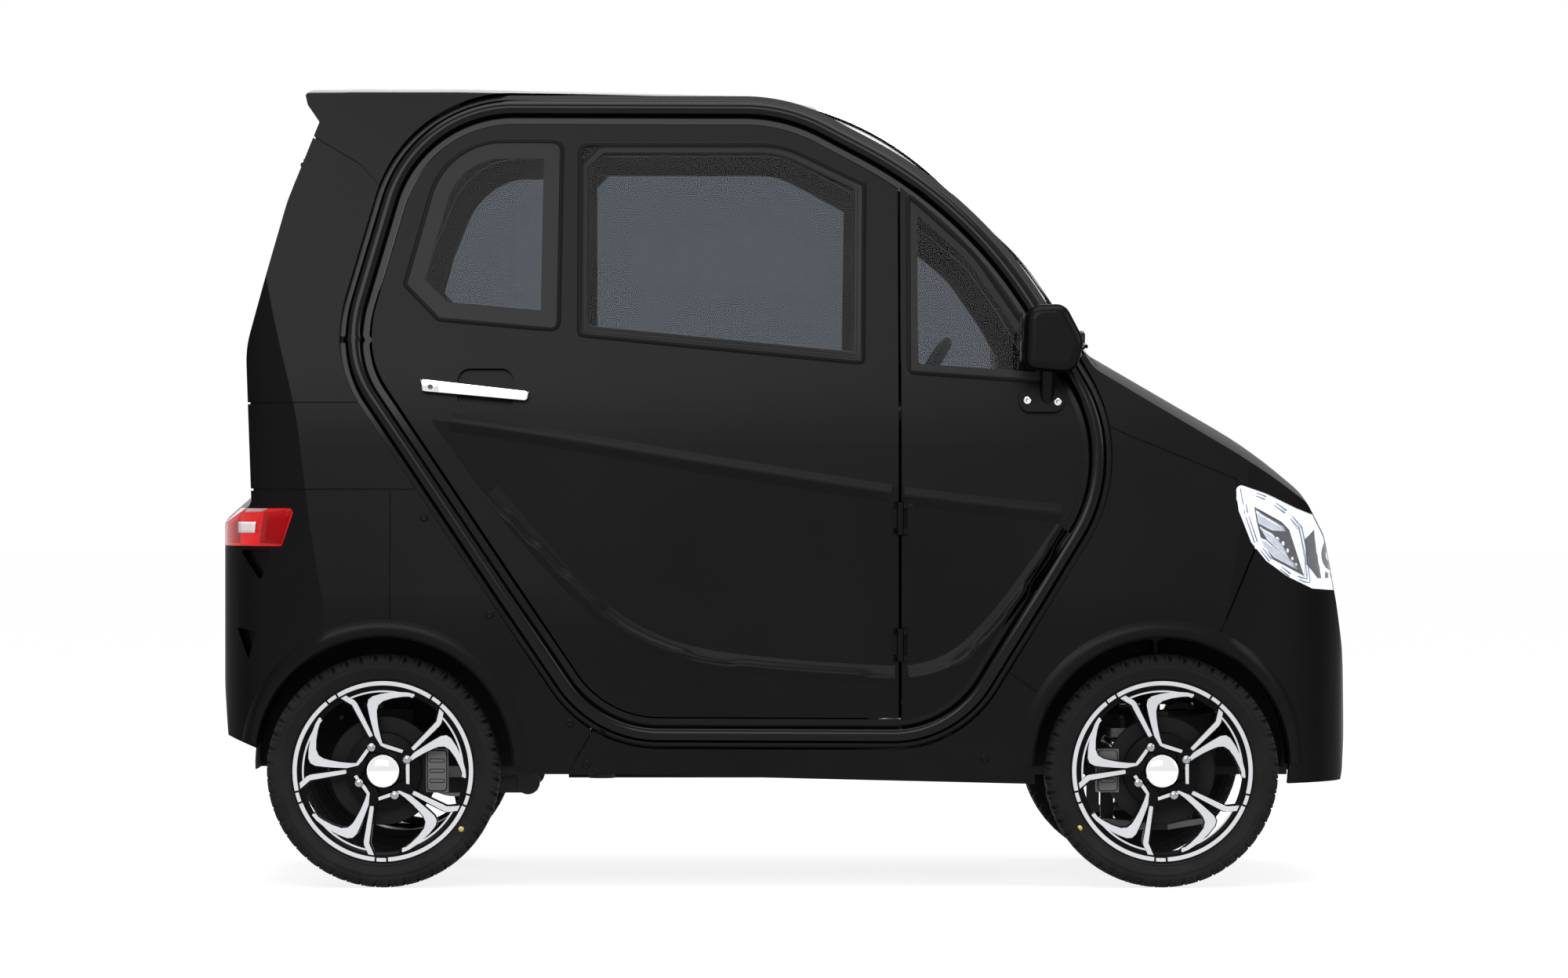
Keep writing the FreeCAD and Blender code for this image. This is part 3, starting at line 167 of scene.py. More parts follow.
def place_noise(tree, scale, detail=4.0, roughness=0.55):
    place = tree.nodes.new("ShaderNodeNewGeometry")
    noise = tree.nodes.new("ShaderNodeTexNoise")
    noise.inputs["Detail"].default_value = detail
    noise.inputs["Roughness"].default_value = roughness
    if isinstance(scale, (int, float)):
        noise.inputs["Scale"].default_value = scale
    else:
        link(tree, scale, noise.inputs["Scale"])
    link(tree, place.outputs["Position"], noise.inputs["Vector"])
    return noise.outputs["Fac"]


def build_surface_group():
    """Colour that drifts a little, roughness that drifts with it, and a fine skin for the bump."""
    group, start, end = new_group(
        "skin_drift",
        [("Color", "NodeSocketColor", (0.5, 0.5, 0.5, 1)), ("Drift", "NodeSocketFloat", 0.1),
         ("Roughness", "NodeSocketFloat", 0.4), ("Roughness Drift", "NodeSocketFloat", 0.05),
         ("Patch Scale", "NodeSocketFloat", 3.0), ("Grain Scale", "NodeSocketFloat", 900.0)],
        [("Color", "NodeSocketColor"), ("Roughness", "NodeSocketFloat"), ("Grain", "NodeSocketFloat")])
    patch = place_noise(group, start.outputs["Patch Scale"])
    grain = place_noise(group, start.outputs["Grain Scale"], 2.0)
    signed = math_node(group, "SUBTRACT", patch, 0.5)
    shade = math_node(group, "MULTIPLY", signed, start.outputs["Drift"])
    bright = math_node(group, "ADD", shade, 1.0)
    scale = group.nodes.new("ShaderNodeVectorMath")
    scale.operation = "SCALE"
    link(group, start.outputs["Color"], scale.inputs[0])
    link(group, bright, scale.inputs["Scale"])
    link(group, scale.outputs["Vector"], end.inputs["Color"])
    rough_shift = math_node(group, "MULTIPLY", signed, start.outputs["Roughness Drift"])
    link(group, math_node(group, "ADD", start.outputs["Roughness"], rough_shift, True), end.inputs["Roughness"])
    link(group, grain, end.inputs["Grain"])
    return group


def build_dust_group():
    """Road dust that thins out with height and lies in patches."""
    group, start, end = new_group(
        "road_dust",
        [("Color", "NodeSocketColor", (0.5, 0.5, 0.5, 1)), ("Dust", "NodeSocketColor", (0.16, 0.15, 0.14, 1)),
         ("Amount", "NodeSocketFloat", 0.1), ("Top", "NodeSocketFloat", 0.5)],
        [("Color", "NodeSocketColor"), ("Mask", "NodeSocketFloat")])
    place = group.nodes.new("ShaderNodeNewGeometry")
    split = group.nodes.new("ShaderNodeSeparateXYZ")
    link(group, place.outputs["Position"], split.inputs[0])
    low = math_node(group, "DIVIDE", split.outputs["Z"], start.outputs["Top"])
    fade = math_node(group, "SUBTRACT", 1.0, low, True)
    patch = ramp_between(group, place_noise(group, 14.0, 6.0), 0.35, 0.75)
    mask = math_node(group, "MULTIPLY", math_node(group, "MULTIPLY", fade, patch), start.outputs["Amount"], True)
    mix = group.nodes.new("ShaderNodeMix")
    mix.data_type = "RGBA"
    link(group, mask, mix.inputs["Factor"])
    link(group, start.outputs["Color"], mix.inputs["A"])
    link(group, start.outputs["Dust"], mix.inputs["B"])
    link(group, mix.outputs["Result"], end.inputs["Color"])
    link(group, mask, end.inputs["Mask"])
    return group


SKIN = build_surface_group()
DUST = build_dust_group()


def group_node(tree, group, values):
    node = tree.nodes.new("ShaderNodeGroup")
    node.node_tree = group
    for name, value in values.items():
        if hasattr(value, "node"):
            link(tree, value, node.inputs[name])
        else:
            node.inputs[name].default_value = value
    return node


def finish_material(name, colour, roughness, drift=0.12, rough_drift=0.06, patch=3.0, grain_scale=900.0,
                    grain_depth=0.00002, dust=0.0, dust_top=0.5, **sockets):
    """A material with drifting colour and roughness, a fine grain and some dust near the ground."""
    material = bpy.data.materials.new(name)
    material.use_nodes = True
    tree = material.node_tree
    shader = tree.nodes["Principled BSDF"]
    skin = group_node(tree, SKIN, {
        "Color": (*colour, 1), "Drift": drift, "Roughness": roughness, "Roughness Drift": rough_drift,
        "Patch Scale": patch, "Grain Scale": grain_scale})
    dusty = group_node(tree, DUST, {"Color": skin.outputs["Color"], "Amount": dust, "Top": dust_top})
    link(tree, dusty.outputs["Color"], shader.inputs["Base Color"])
    link(tree, skin.outputs["Roughness"], shader.inputs["Roughness"])
    bump = tree.nodes.new("ShaderNodeBump")
    bump.inputs["Distance"].default_value = grain_depth
    bump.inputs["Strength"].default_value = 1.0
    link(tree, skin.outputs["Grain"], bump.inputs["Height"])
    link(tree, bump.outputs["Normal"], shader.inputs["Normal"])
    for socket, value in sockets.items():
        shader.inputs[socket.replace("_", " ").title() if socket.islower() else socket].default_value = value
    return material


SPECULAR = "Specular IOR Level"
EDGE_ON_TINT = (0.22, 0.22, 0.22, 1)
paint = finish_material("satin_black_lacquer", (0.0092, 0.0092, 0.0096), 0.34, 0.30, 0.06, grain_scale=500,
                        grain_depth=0.00001, dust=0.02, dust_top=0.5, metallic=0.8, specular_tint=EDGE_ON_TINT,
                        **{SPECULAR: 0.085})
ring_black = finish_material("gloss_black_tube", (0.0018, 0.0019, 0.0023), 0.18, 0.2, 0.04, grain_scale=300,
                             grain_depth=0.00001, **{SPECULAR: 0.15})
wheel_black = finish_material("gloss_black_wheel", (0.0020, 0.0020, 0.0024), 0.28, 0.2, 0.08, patch=8.0,
                              grain_scale=400, grain_depth=0.00002, dust=0.03, **{SPECULAR: 0.06})
tyre_rubber = finish_material("tyre_rubber", (0.0095, 0.0095, 0.0100), 0.72, 0.3, 0.1, patch=9.0, grain_scale=1400,
                              grain_depth=0.0001, dust=0.08, dust_top=0.5, **{SPECULAR: 0.10})
rubber = finish_material("seal_rubber", (0.0022, 0.0022, 0.0026), 0.45, 0.2, 0.1, grain_scale=1200, grain_depth=0.00004,
                         **{SPECULAR: 0.08})
frit = finish_material("dark_glass_band", (0.0085, 0.0088, 0.0095), 0.34, 0.1, 0.05, grain_scale=300,
                       grain_depth=0.00001, **{SPECULAR: 0.12})
# Painted shade: the brake disc is coloured near black, far darker than bare steel, for the shade inside the wheel.
disc_painted_shade = finish_material("brake_disc_painted_shade", (0.006, 0.006, 0.0065), 0.42, 0.3, 0.1, patch=18.0, **{SPECULAR: 0.12})
bolt_black = finish_material("black_bolt", (0.0012, 0.0012, 0.0014), 0.4, 0.2, 0.1, **{SPECULAR: 0.1})
paint_dot = finish_material("yellow_paint_dot", (0.55, 0.50, 0.08), 0.6, 0.2, 0.1)
soft_plastic = finish_material("grained_black_plastic", (0.007, 0.007, 0.0075), 0.55, 0.2, 0.1, grain_scale=1500,
                               grain_depth=0.00008, **{SPECULAR: 0.12})
seat_vinyl = finish_material("seat_vinyl", (0.03, 0.03, 0.032), 0.5, 0.2, 0.1, grain_scale=700, grain_depth=0.0002)
chassis_paint = finish_material("chassis_paint", (0.012, 0.012, 0.012), 0.5, 0.3, 0.15, dust=0.3, dust_top=0.6,
                                **{SPECULAR: 0.3})
bare_casting = finish_material("bare_casting", (0.10, 0.10, 0.10), 0.5, 0.3, 0.15, grain_scale=600,
                               grain_depth=0.0002, dust=0.2, metallic=0.9)
cast_alloy = finish_material("cast_alloy", (0.42, 0.42, 0.42), 0.45, 0.2, 0.1, grain_scale=500,
                             grain_depth=0.00015, metallic=0.9)
ground_steel = finish_material("ground_steel", (0.5, 0.5, 0.5), 0.3, 0.1, 0.1, metallic=1.0)
bright_chrome = finish_material("bright_chrome", (0.82, 0.83, 0.84), 0.06, 0.05, 0.02, metallic=1.0)
nut_chrome = finish_material("nut_chrome", (0.30, 0.31, 0.32), 0.16, 0.1, 0.05, patch=40.0, metallic=1.0)
satin_chrome = finish_material("satin_chrome", (0.62, 0.63, 0.65), 0.22, 0.06, 0.05, metallic=1.0)
mirror_silver = finish_material("mirror_silver", (0.85, 0.87, 0.9), 0.02, 0.02, 0.01, metallic=1.0)
machined_face = finish_material("machined_alloy", (0.60, 0.61, 0.63), 0.22, 0.10, 0.08, patch=20.0,
                                grain_scale=2500, grain_depth=0.00001, metallic=1.0)
# Painted light: the silver reflector glows bluish white from its emission, standing in for the light it would catch
# behind the lens; the lamp is off.
lamp_silver_painted_glow = finish_material("lamp_silver_painted_glow", (0.80, 0.82, 0.85), 0.14, 0.05, 0.05, patch=12.0, metallic=1.0,
                              emission_color=(0.70, 0.76, 0.88, 1), emission_strength=0.42)
# Painted light: the faceted blades glow from their emission, standing in for the light they would catch behind the
# lens; the lamp is off.
lamp_facets_painted_glow = finish_material("lamp_facets_painted_glow", (0.50, 0.53, 0.58), 0.18, 0.5, 0.1, patch=60.0, metallic=1.0,
                              emission_color=(0.45, 0.48, 0.54, 1), emission_strength=0.30)
# Painted light: the dark lamp parts glow faintly from their emission, lifted as if lit behind the lens; the lamp is
# off.
lamp_dark_painted_glow = finish_material("lamp_dark_painted_glow", (0.03, 0.03, 0.033), 0.25, 0.3, 0.1, patch=40.0,
                            emission_color=(0.05, 0.053, 0.06, 1), emission_strength=0.6)
lamp_line = finish_material("lamp_line", (0.10, 0.14, 0.24), 0.2, 0.05, 0.05)
# Painted light: the red reflector glows from its emission, standing in for the light it would catch behind the lens;
# the lamp is off.
tail_reflector_painted_glow = finish_material("tail_reflector_painted_glow", (0.62, 0.06, 0.06), 0.3, 0.5, 0.1, patch=50.0, metallic=0.3,
                                 emission_color=(0.60, 0.02, 0.025, 1), emission_strength=0.45)
tail_white = finish_material("tail_white", (0.80, 0.76, 0.76), 0.15, 0.1, 0.05, patch=30.0)
tail_pale = finish_material("tail_pale", (0.55, 0.32, 0.33), 0.15, 0.1, 0.05, patch=30.0)
# Painted light: the deep red patch glows from its emission though the lamp is off.
tail_deep_painted_glow = finish_material("tail_deep_painted_glow", (0.22, 0.002, 0.003), 0.22, 0.3, 0.05, patch=30.0, **{SPECULAR: 0.06},
                            emission_color=(0.20, 0.001, 0.002, 1), emission_strength=0.6)
screen_black = finish_material("screen_black", (0.006, 0.007, 0.009), 0.08, 0.1, 0.03)
vent_black = finish_material("vent_black", (0.010, 0.010, 0.011), 0.45, 0.1, 0.05)
grip_leather = finish_material("grip_leather", (0.014, 0.013, 0.013), 0.42, 0.25, 0.12, patch=30.0, grain_scale=900,
                               grain_depth=0.00025)


def glass_material(name, tint, roughness=0.0, bend=1.45):
    """Clear coloured sheet: mostly see-through, with a thin film of grime in its roughness."""
    material = bpy.data.materials.new(name)
    material.use_nodes = True
    tree = material.node_tree
    shader = tree.nodes["Principled BSDF"]
    shader.inputs["Transmission Weight"].default_value = 1.0
    shader.inputs["IOR"].default_value = bend
    skin = group_node(tree, SKIN, {
        "Color": (*tint, 1), "Drift": 0.04, "Roughness": roughness, "Roughness Drift": 0.004,
        "Patch Scale": 2.0, "Grain Scale": 200.0})
    link(tree, skin.outputs["Color"], shader.inputs["Base Color"])
    link(tree, skin.outputs["Roughness"], shader.inputs["Roughness"])
    return material


smoked_glass = glass_material("smoked_glass", (0.250, 0.268, 0.292), bend=1.14)
clear_lens = glass_material("clear_lens", (0.96, 0.97, 0.99), bend=1.25)
red_lens = glass_material("red_lens", (0.90, 0.10, 0.10), bend=1.25)

SLOT_FINISH = {
    "body_paint": paint, "gloss_black": ring_black, "tinted_glass": smoked_glass, "chrome": bright_chrome,
    "chassis_steel": chassis_paint, "cast_steel": bare_casting, "motor_alloy": cast_alloy,
    "bright_steel": ground_steel, "battery_case": soft_plastic, "floor_paint": chassis_paint,
    "cabin_plastic": soft_plastic, "wheel_grip": grip_leather, "seat_cover": seat_vinyl, "lamp_clear": clear_lens,
    "lamp_red": red_lens, "liner_plastic": soft_plastic, "trim_black": soft_plastic, "tyre": tyre_rubber,
    "alloy": wheel_black,
}


def dress(node_name, material):
    mesh = nodes[node_name].data
    mesh.materials.clear()
    mesh.materials.append(material)


for entry in frame["record"]["subparts"]:
    dress(entry["node"], SLOT_FINISH[entry["material_slot"]])


FLOOR_GLOW = 0.84
FLOOR_PAINT = 0.28


def add_floor():
    mesh = bpy.data.meshes.new("floor")
    reach = 60
    mesh.from_pydata([(-reach, -reach, 0), (reach, -reach, 0), (reach, reach, 0), (-reach, reach, 0)], [], [(0, 1, 2, 3)])
    floor = bpy.data.objects.new("floor", mesh)
    bpy.context.scene.collection.objects.link(floor)
    material = bpy.data.materials.new("white_floor")
    material.use_nodes = True
    tree = material.node_tree
    shader = tree.nodes["Principled BSDF"]
    shader.inputs["Base Color"].default_value = (FLOOR_PAINT, FLOOR_PAINT, FLOOR_PAINT, 1)
    shader.inputs["Roughness"].default_value = 0.9
    shader.inputs["Specular IOR Level"].default_value = 0.0
    shader.inputs["Emission Strength"].default_value = 1.0
    rays = tree.nodes.new("ShaderNodeLightPath")
    glow = math_node(tree, "MULTIPLY", white_seen_by(tree, rays), FLOOR_GLOW)
    colour = tree.nodes.new("ShaderNodeCombineXYZ")
    for socket in colour.inputs:
        link(tree, glow, socket)
    link(tree, colour.outputs[0], shader.inputs["Emission Color"])
    mesh.materials.append(material)



# Outlines in side view: columns x, z, corner radius, in millimetres, shared by both sides

RING = [
    (-738, 1553, 256), (-860, 1130, 279), (-860, 1026, 212), (-377, 304, 229), (327, 301, 214),
    (614, 772, 287), (614, 935, 287), (374, 1351, 868), (-1, 1551, 341),
]
MAIN_FRAME = [(-414, 1478, 19), (-11, 1478, 186), (155, 1398, 9), (151, 1038, 9), (-415, 1094, 9)]
REAR_FRAME = [(-680, 1485, 150), (-446, 1485, 19), (-452, 1103, 16), (-693, 1125, 9), (-761, 1196, 9)]
FRONT_FRAME = [(238, 1380, 6), (372, 1258, 300), (496, 1076, 310), (519, 1000, 6), (238, 1020, 9)]
SAMPLE = 0.008
SHARP_TURN = math.radians(20)
MM = 0.001


def sampled(points, spacing=SAMPLE):
    """Evenly stepped points along a closed outline whose corners are rounded by their own radius."""
    corners = [(Vector((x * MM, z * MM)), radius * MM) for x, z, radius in points]
    count = len(corners)
    path = []
    for index, (corner, radius) in enumerate(corners):
        before = (corners[index - 1][0] - corner).normalized()
        after = (corners[(index + 1) % count][0] - corner).normalized()
        half = before.angle(after) / 2
        if radius <= 0:
            path.append(corner)
            continue
        cut = radius / math.tan(half)
        centre = corner + (before + after).normalized() * (radius / math.sin(half))
        start = corner + before * cut - centre
        sweep = math.pi - 2 * half
        turn = 1 if start.x * (corner - centre).y - start.y * (corner - centre).x > 0 else -1
        steps = max(2, int(radius * sweep / spacing))
        for step in range(steps + 1):
            angle = turn * sweep * step / steps
            path.append(centre + Matrix.Rotation(angle, 2) @ start)
    dense = []
    for index, point in enumerate(path):
        following = path[(index + 1) % len(path)]
        gap = (following - point).length
        if gap < 1e-6:
            continue
        steps = max(1, int(gap / spacing + 0.5))
        dense += [point.lerp(following, step / steps) for step in range(steps)]
    return dense


def node_tree_of(names):
    """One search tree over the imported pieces, for finding points on their surfaces."""
    corners, triangles = [], []
    for name in names:
        mesh = nodes[name].data
        mesh.calc_loop_triangles()
        base = len(corners)
        corners += [vertex.co.copy() for vertex in mesh.vertices]
        triangles += [tuple(base + index for index in triangle.vertices) for triangle in mesh.loop_triangles]
    return BVHTree.FromPolygons(corners, triangles)


FLANK_NODES = [
    "door_rings", "door_left", "door_right", "door_glass_left", "door_glass_right", "front_side_panels",
    "front_quarter_glass", "front_fenders", "rear_side_panels", "sills", "front_bumper", "rear_bumper",
    "rear_body", "headlamps", "tail_lamps", "bonnet", "roof_panel",
]
flank = node_tree_of(FLANK_NODES)


def on_flank(x, z, side):
    """The point of the side skin at this place in side view, and the skin's normal."""
    start = Vector((x, side * 1.5, z))
    point, normal, index, distance = flank.ray_cast(start, Vector((0, -side, 0)))
    if point is None:
        return None
    if normal.y * side < 0:
        normal = -normal
    return point, normal


# Mesh helpers

def new_piece(name, corners, faces, material, body, smooth=True):
    mesh = bpy.data.meshes.new(name)
    mesh.from_pydata([tuple(corner) for corner in corners], [], faces)
    mesh.materials.append(material)
    if smooth:
        mesh.shade_smooth()
    mesh.update()
    piece = bpy.data.objects.new(name, mesh)
    bpy.context.scene.collection.objects.link(piece)
    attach(piece, body)
    return piece


def tidy_normals(piece):
    work = bmesh.new()
    work.from_mesh(piece.data)
    bmesh.ops.recalc_face_normals(work, faces=work.faces)
    work.to_mesh(piece.data)
    work.free()


def sharpen(piece, angle=35):
    """Keeps the edges that turn more than this as creases in the smooth shading."""
    piece.data.set_sharp_from_angle(angle=math.radians(angle))


def swept(path, section, closed=True):
    """Corners and faces of a section carried along a path; each stop gives a point, normal and across."""
    corners, faces = [], []
    width = len(section)
    for point, normal, across in path:
        corners += [point + across * shift + normal * height for shift, height in section]
    stops = len(path)
    for stop in range(stops if closed else stops - 1):
        following = (stop + 1) % stops
        for index in range(width):
            turn = (index + 1) % width
            faces.append((stop * width + index, stop * width + turn, following * width + turn,
                          following * width + index))
    return corners, faces


def cleared(stops, reach):
    """The stops without those that crowd a sharp corner, so that a wide band can turn there."""
    count = len(stops)
    corners = []
    for index, (point, normal) in enumerate(stops):
        before = point - stops[index - 1][0]
        after = stops[(index + 1) % count][0] - point
        if before.angle(after) > SHARP_TURN:
            corners.append(point)
    return [stop for stop in stops
            if all(stop[0] is corner or (stop[0] - corner).length > reach for corner in corners)]


def flank_path(outline, side, lift=0.0, rounds=6, clear=0.0):
    """Stops along an outline on the side skin, smoothed, with across pointing out of the outline."""
    found = []
    for point in sampled(outline):
        hit = on_flank(point.x, point.y, side)
        if hit:
            found.append([hit[0], hit[1]])
    if clear:
        found = cleared(found, clear)
    count = len(found)
    for round_number in range(rounds):
        depths = [sum(found[(index + step) % count][0].y for step in (-2, -1, 0, 1, 2)) / 5 for index in range(count)]
        for index in range(count):
            found[index][0].y = depths[index]
    centre = sum((stop[0] for stop in found), Vector()) / count
    stops = []
    for index, (point, normal) in enumerate(found):
        along = (found[(index + 1) % count][0] - found[index - 1][0]).normalized()
        mean = sum((found[(index + step) % count][1] for step in (-3, -2, -1, 0, 1, 2, 3)), Vector()).normalized()
        across = along.cross(mean).normalized()
        if across.dot(point - centre) < 0:
            across = -across
        before = point - found[index - 1][0]
        after = found[(index + 1) % count][0] - point
        mitre = 1 / max(0.5, math.cos(before.angle(after) / 2))
        stops.append((point + mean * lift, mean, across * mitre))
    return stops


# Door rings: a half-round gloss tube with its inner and outer flanges

TUBE_RADIUS = 0.017
TUBE_STEPS = 12
RING_SECTION = [(-0.030, -0.046), (-0.030, -0.026), (-0.018, -0.026)]
RING_SECTION += [
    (-TUBE_RADIUS * math.cos(math.pi * step / TUBE_STEPS), TUBE_RADIUS * (math.sin(math.pi * step / TUBE_STEPS) - 1))
    for step in range(TUBE_STEPS + 1)
]
RING_SECTION += [(0.018, -0.026), (0.028, -0.026), (0.028, -0.046)]


def add_door_rings():
    for side, tag in ((-1, "right"), (1, "left")):
        corners, faces = swept(flank_path(RING, side), RING_SECTION)
        ring = new_piece("door_ring_" + tag, corners, faces, ring_black, "body")
        tidy_normals(ring)
        sharpen(ring, 50)
        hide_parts("door_rings")


# Window rubbers and inner window frames

BAND_SECTION = [(-0.011, -0.0010), (-0.011, 0.0007), (0.011, 0.0007), (0.011, -0.0010)]
RUBBER_SECTION = [(-0.004, -0.003), (-0.004, 0.0018), (-0.0028, 0.0030), (0.0020, 0.0032), (0.0045, 0.0018), (0.0045, -0.003)]


def shrunk(points, inset, sharpest=2):
    """The outline drawn in by an equal margin, with its corner radii kept concentric."""
    count = len(points)
    result = []
    for index, (x, z, radius) in enumerate(points):
        corner = Vector((x, z))
        before = (Vector(points[index - 1][:2]) - corner).normalized()
        after = (Vector(points[(index + 1) % count][:2]) - corner).normalized()
        sine = math.sin(before.angle(after) / 2)
        inward = (before + after).normalized()
        moved = corner + inward * (inset / sine)
        result.append((moved.x, moved.y, radius - inset if radius - inset > 2 else sharpest))
    return result


WINDOWS = {
    "main": (MAIN_FRAME, 13, "door_"), "rear": (REAR_FRAME, 20, "door_"), "front": (FRONT_FRAME, 9, "body"),
}
SLIDER_SECTION = [
    (-0.0095, -0.001), (-0.0095, 0.0008), (-0.0080, 0.0020), (-0.0030, 0.0022), (-0.0020, 0.0012), (0.0060, 0.0012),
    (0.0075, 0.0020), (0.0095, 0.0006), (0.0095, -0.001),
]
BAND_CLEAR = 0.019
WIDE_BAND = [(-0.018, -0.0010), (-0.018, 0.0007), (0.016, 0.0007), (0.016, -0.0010)]


def add_window_rubbers():
    for side, tag in ((-1, "right"), (1, "left")):
        for name, (outline, inset, carrier) in WINDOWS.items():
            body = "body" if carrier == "body" else "door_" + tag
            band = {"main": SLIDER_SECTION, "rear": WIDE_BAND, "front": BAND_SECTION}[name]
            for kind, margin, section in (("rubber", 2, RUBBER_SECTION), ("band", inset, band)):
                corners, faces = swept(flank_path(shrunk(outline, margin, 0), side, rounds=6 if kind == "rubber" else 0,
                                                  clear=0.0 if kind == "rubber" else BAND_CLEAR), section)
                piece = new_piece("%s_window_%s_%s" % (name, kind, tag), corners, faces,
                                  rubber if kind == "rubber" else frit, body)
                tidy_normals(piece)
                sharpen(piece, 40)

# Tyres: carcass and tread carried round the axle

FRONT_AXLE_X = 0.741
REAR_AXLE_X = -0.801
AXLE_Z = 0.2315
WHEEL_PLANE_Y = 0.490
WHEELS = [
    ("front_left", FRONT_AXLE_X, 1), ("front_right", FRONT_AXLE_X, -1),
    ("rear_left", REAR_AXLE_X, 1), ("rear_right", REAR_AXLE_X, -1),
]
PITCHES = 48
PITCH_STOPS = (0.0, 0.07, 0.22, 0.29, 0.46, 0.50, 0.53, 0.57, 0.80)
TYRE_SECTION = [
    (176.0, 49.6), (180.5, 54.5), (184.5, 56.5), (186.0, 57.6), (187.5, 57.0), (196.0, 60.4), (203.0, 62.0),
    (204.2, 62.45), (205.6, 62.1), (212.0, 61.6), (213.0, 62.2), (218.5, 61.2), (224.5, 58.6), (228.6, 54.0),
    (230.2, 46.0), (230.7, 39.0), (230.8, 36.0), (230.8, 34.6), (231.0, 24.0), (231.1, 15.0), (231.1, 13.6),
    (231.2, 10.0), (231.2, 3.4), (231.2, 0.0),
]
TREAD_DEPTH = 7


def tread_cut(radius, width, share):
    """How deep the tread is cut here: two grooves each side, shoulder slots, and slanted sipes between."""
    offset = abs(width)
    if radius < 212.5:
        return 0.0
    fade = min(1.0, (radius - 212.5) / 12)
    if 34.8 <= offset <= 38 or 10.5 <= offset <= 14.5:
        return TREAD_DEPTH
    if offset > 38:
        return TREAD_DEPTH * fade if 0.05 < share < 0.24 else (3.0 * fade if 0.47 < share < 0.56 else 0.0)
    if 14.5 < offset < 34.8:
        return TREAD_DEPTH * 0.8 if 0.27 < share < 0.40 else (1.8 if 0.55 < share < 0.6 else 0.0)
    return 1.5 if 0.2 < share < 0.3 else 0.0


def to_world(u, v, w, axle_x, side):
    """From a wheel's own plane, u and v across it and w out of the car, to the car's frame."""
    return Vector((axle_x + u, side * (WHEEL_PLANE_Y + w), AXLE_Z - side * v))


def add_tyres():
    section = TYRE_SECTION + [(radius, -width) for radius, width in TYRE_SECTION[-2::-1]]
    for place, axle_x, side in WHEELS:
        corners, faces = [], []
        stops = [(pitch + share, share) for pitch in range(PITCHES) for share in PITCH_STOPS]
        for turn, share in stops:
            for radius, width in section:
                slant = 0.35 * width / 60
                angle = 2 * math.pi * (turn + slant) / PITCHES
                depth = tread_cut(radius, width, share)
                reach = (radius - depth) * MM
                corners.append(to_world(reach * math.cos(angle), reach * math.sin(angle), width * MM, axle_x, side))
        rings, width_count = len(stops), len(section)
        for ring in range(rings):
            following = (ring + 1) % rings
            for step in range(width_count - 1):
                faces.append((ring * width_count + step, ring * width_count + step + 1,
                              following * width_count + step + 1, following * width_count + step))
        tyre = new_piece("road_tyre_" + place, corners, faces, tyre_rubber, "wheel_" + place)
        tidy_normals(tyre)
        sharpen(tyre, 32)
        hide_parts("tyre_" + place)


DOTS = [("front_right", FRONT_AXLE_X, -0.164, -0.112), ("rear_right", REAR_AXLE_X, 0.155, -0.114)]


def add_paint_dots():
    for place, axle_x, u, v in DOTS:
        shape = moved(turned_profile([(0.0055, 0.0), (0.0052, 0.0008), (0.0001, 0.0009)], 20), u, v)
        corners = [to_world(a, b, 0.0606 + c, axle_x, -1) for a, b, c in shape[0]]
        piece = new_piece("tyre_dot_" + place, corners, shape[1], paint_dot, "wheel_" + place)
        tidy_normals(piece)


# Wheel faces: the machined faces of the blades, the lip arcs, the nuts and the cap, in parts of the rim radius

RIM = 0.181
THIN_FACE = [
    (-0.502, 0.830), (-0.464, 0.798), (-0.340, 0.724), (-0.157, 0.385), (-0.148, 0.374), (-0.135, 0.374),
    (-0.108, 0.391), (-0.245, 0.674), (-0.281, 0.745), (-0.307, 0.776), (-0.392, 0.824), (-0.443, 0.855),
]
HOOK_FACE = [
    (-0.086, 0.388), (-0.122, 0.517), (-0.150, 0.631), (-0.168, 0.724), (-0.157, 0.781), (-0.114, 0.817),
    (-0.014, 0.845), (0.143, 0.866), (0.271, 0.859), (0.343, 0.842), (0.343, 0.822), (0.214, 0.819),
    (0.100, 0.802), (0.000, 0.771), (-0.054, 0.724), (-0.071, 0.659), (-0.067, 0.588), (-0.054, 0.488),
    (-0.029, 0.374), (-0.007, 0.303), (0.043, 0.288), (0.221, 0.231), (0.207, 0.203), (0.043, 0.252),
    (-0.022, 0.281),
]
LIP_ARCS = [(120.5, 57.5, 0.944, 0.984), (117.0, 68.0, 0.868, 0.882), (56.0, 50.0, 0.950, 0.984)]
FACE_HEIGHT = 0.052
FACE_THICK = 0.0014
SPOKES = 5
NUTS = 4
NUT_CIRCLE = 0.053
NUT_PHASE = 26


def plate(outline, low, high, edge=0.0005):
    """Corners and faces of a flat plate with a small bevel round its top, in a wheel's own plane."""
    count = len(outline)
    centre = sum((Vector(point) for point in outline), Vector((0, 0))) / count
    corners = [(u, v, low) for u, v in outline] + [(u, v, high - edge) for u, v in outline]
    for index, (u, v) in enumerate(outline):
        point = Vector((u, v))
        before = (Vector(outline[index - 1]) - point).normalized()
        after = (Vector(outline[(index + 1) % count]) - point).normalized()
        along = (after - before).normalized()
        normal = Vector((-along.y, along.x))
        corners.append((u + normal.x * edge, v + normal.y * edge, high))
    faces = []
    for layer in range(2):
        for index in range(count):
            turn = (index + 1) % count
            faces.append((layer * count + index, layer * count + turn, (layer + 1) * count + turn,
                          (layer + 1) * count + index))
    faces.append(tuple(range(2 * count, 3 * count)))
    return corners, faces


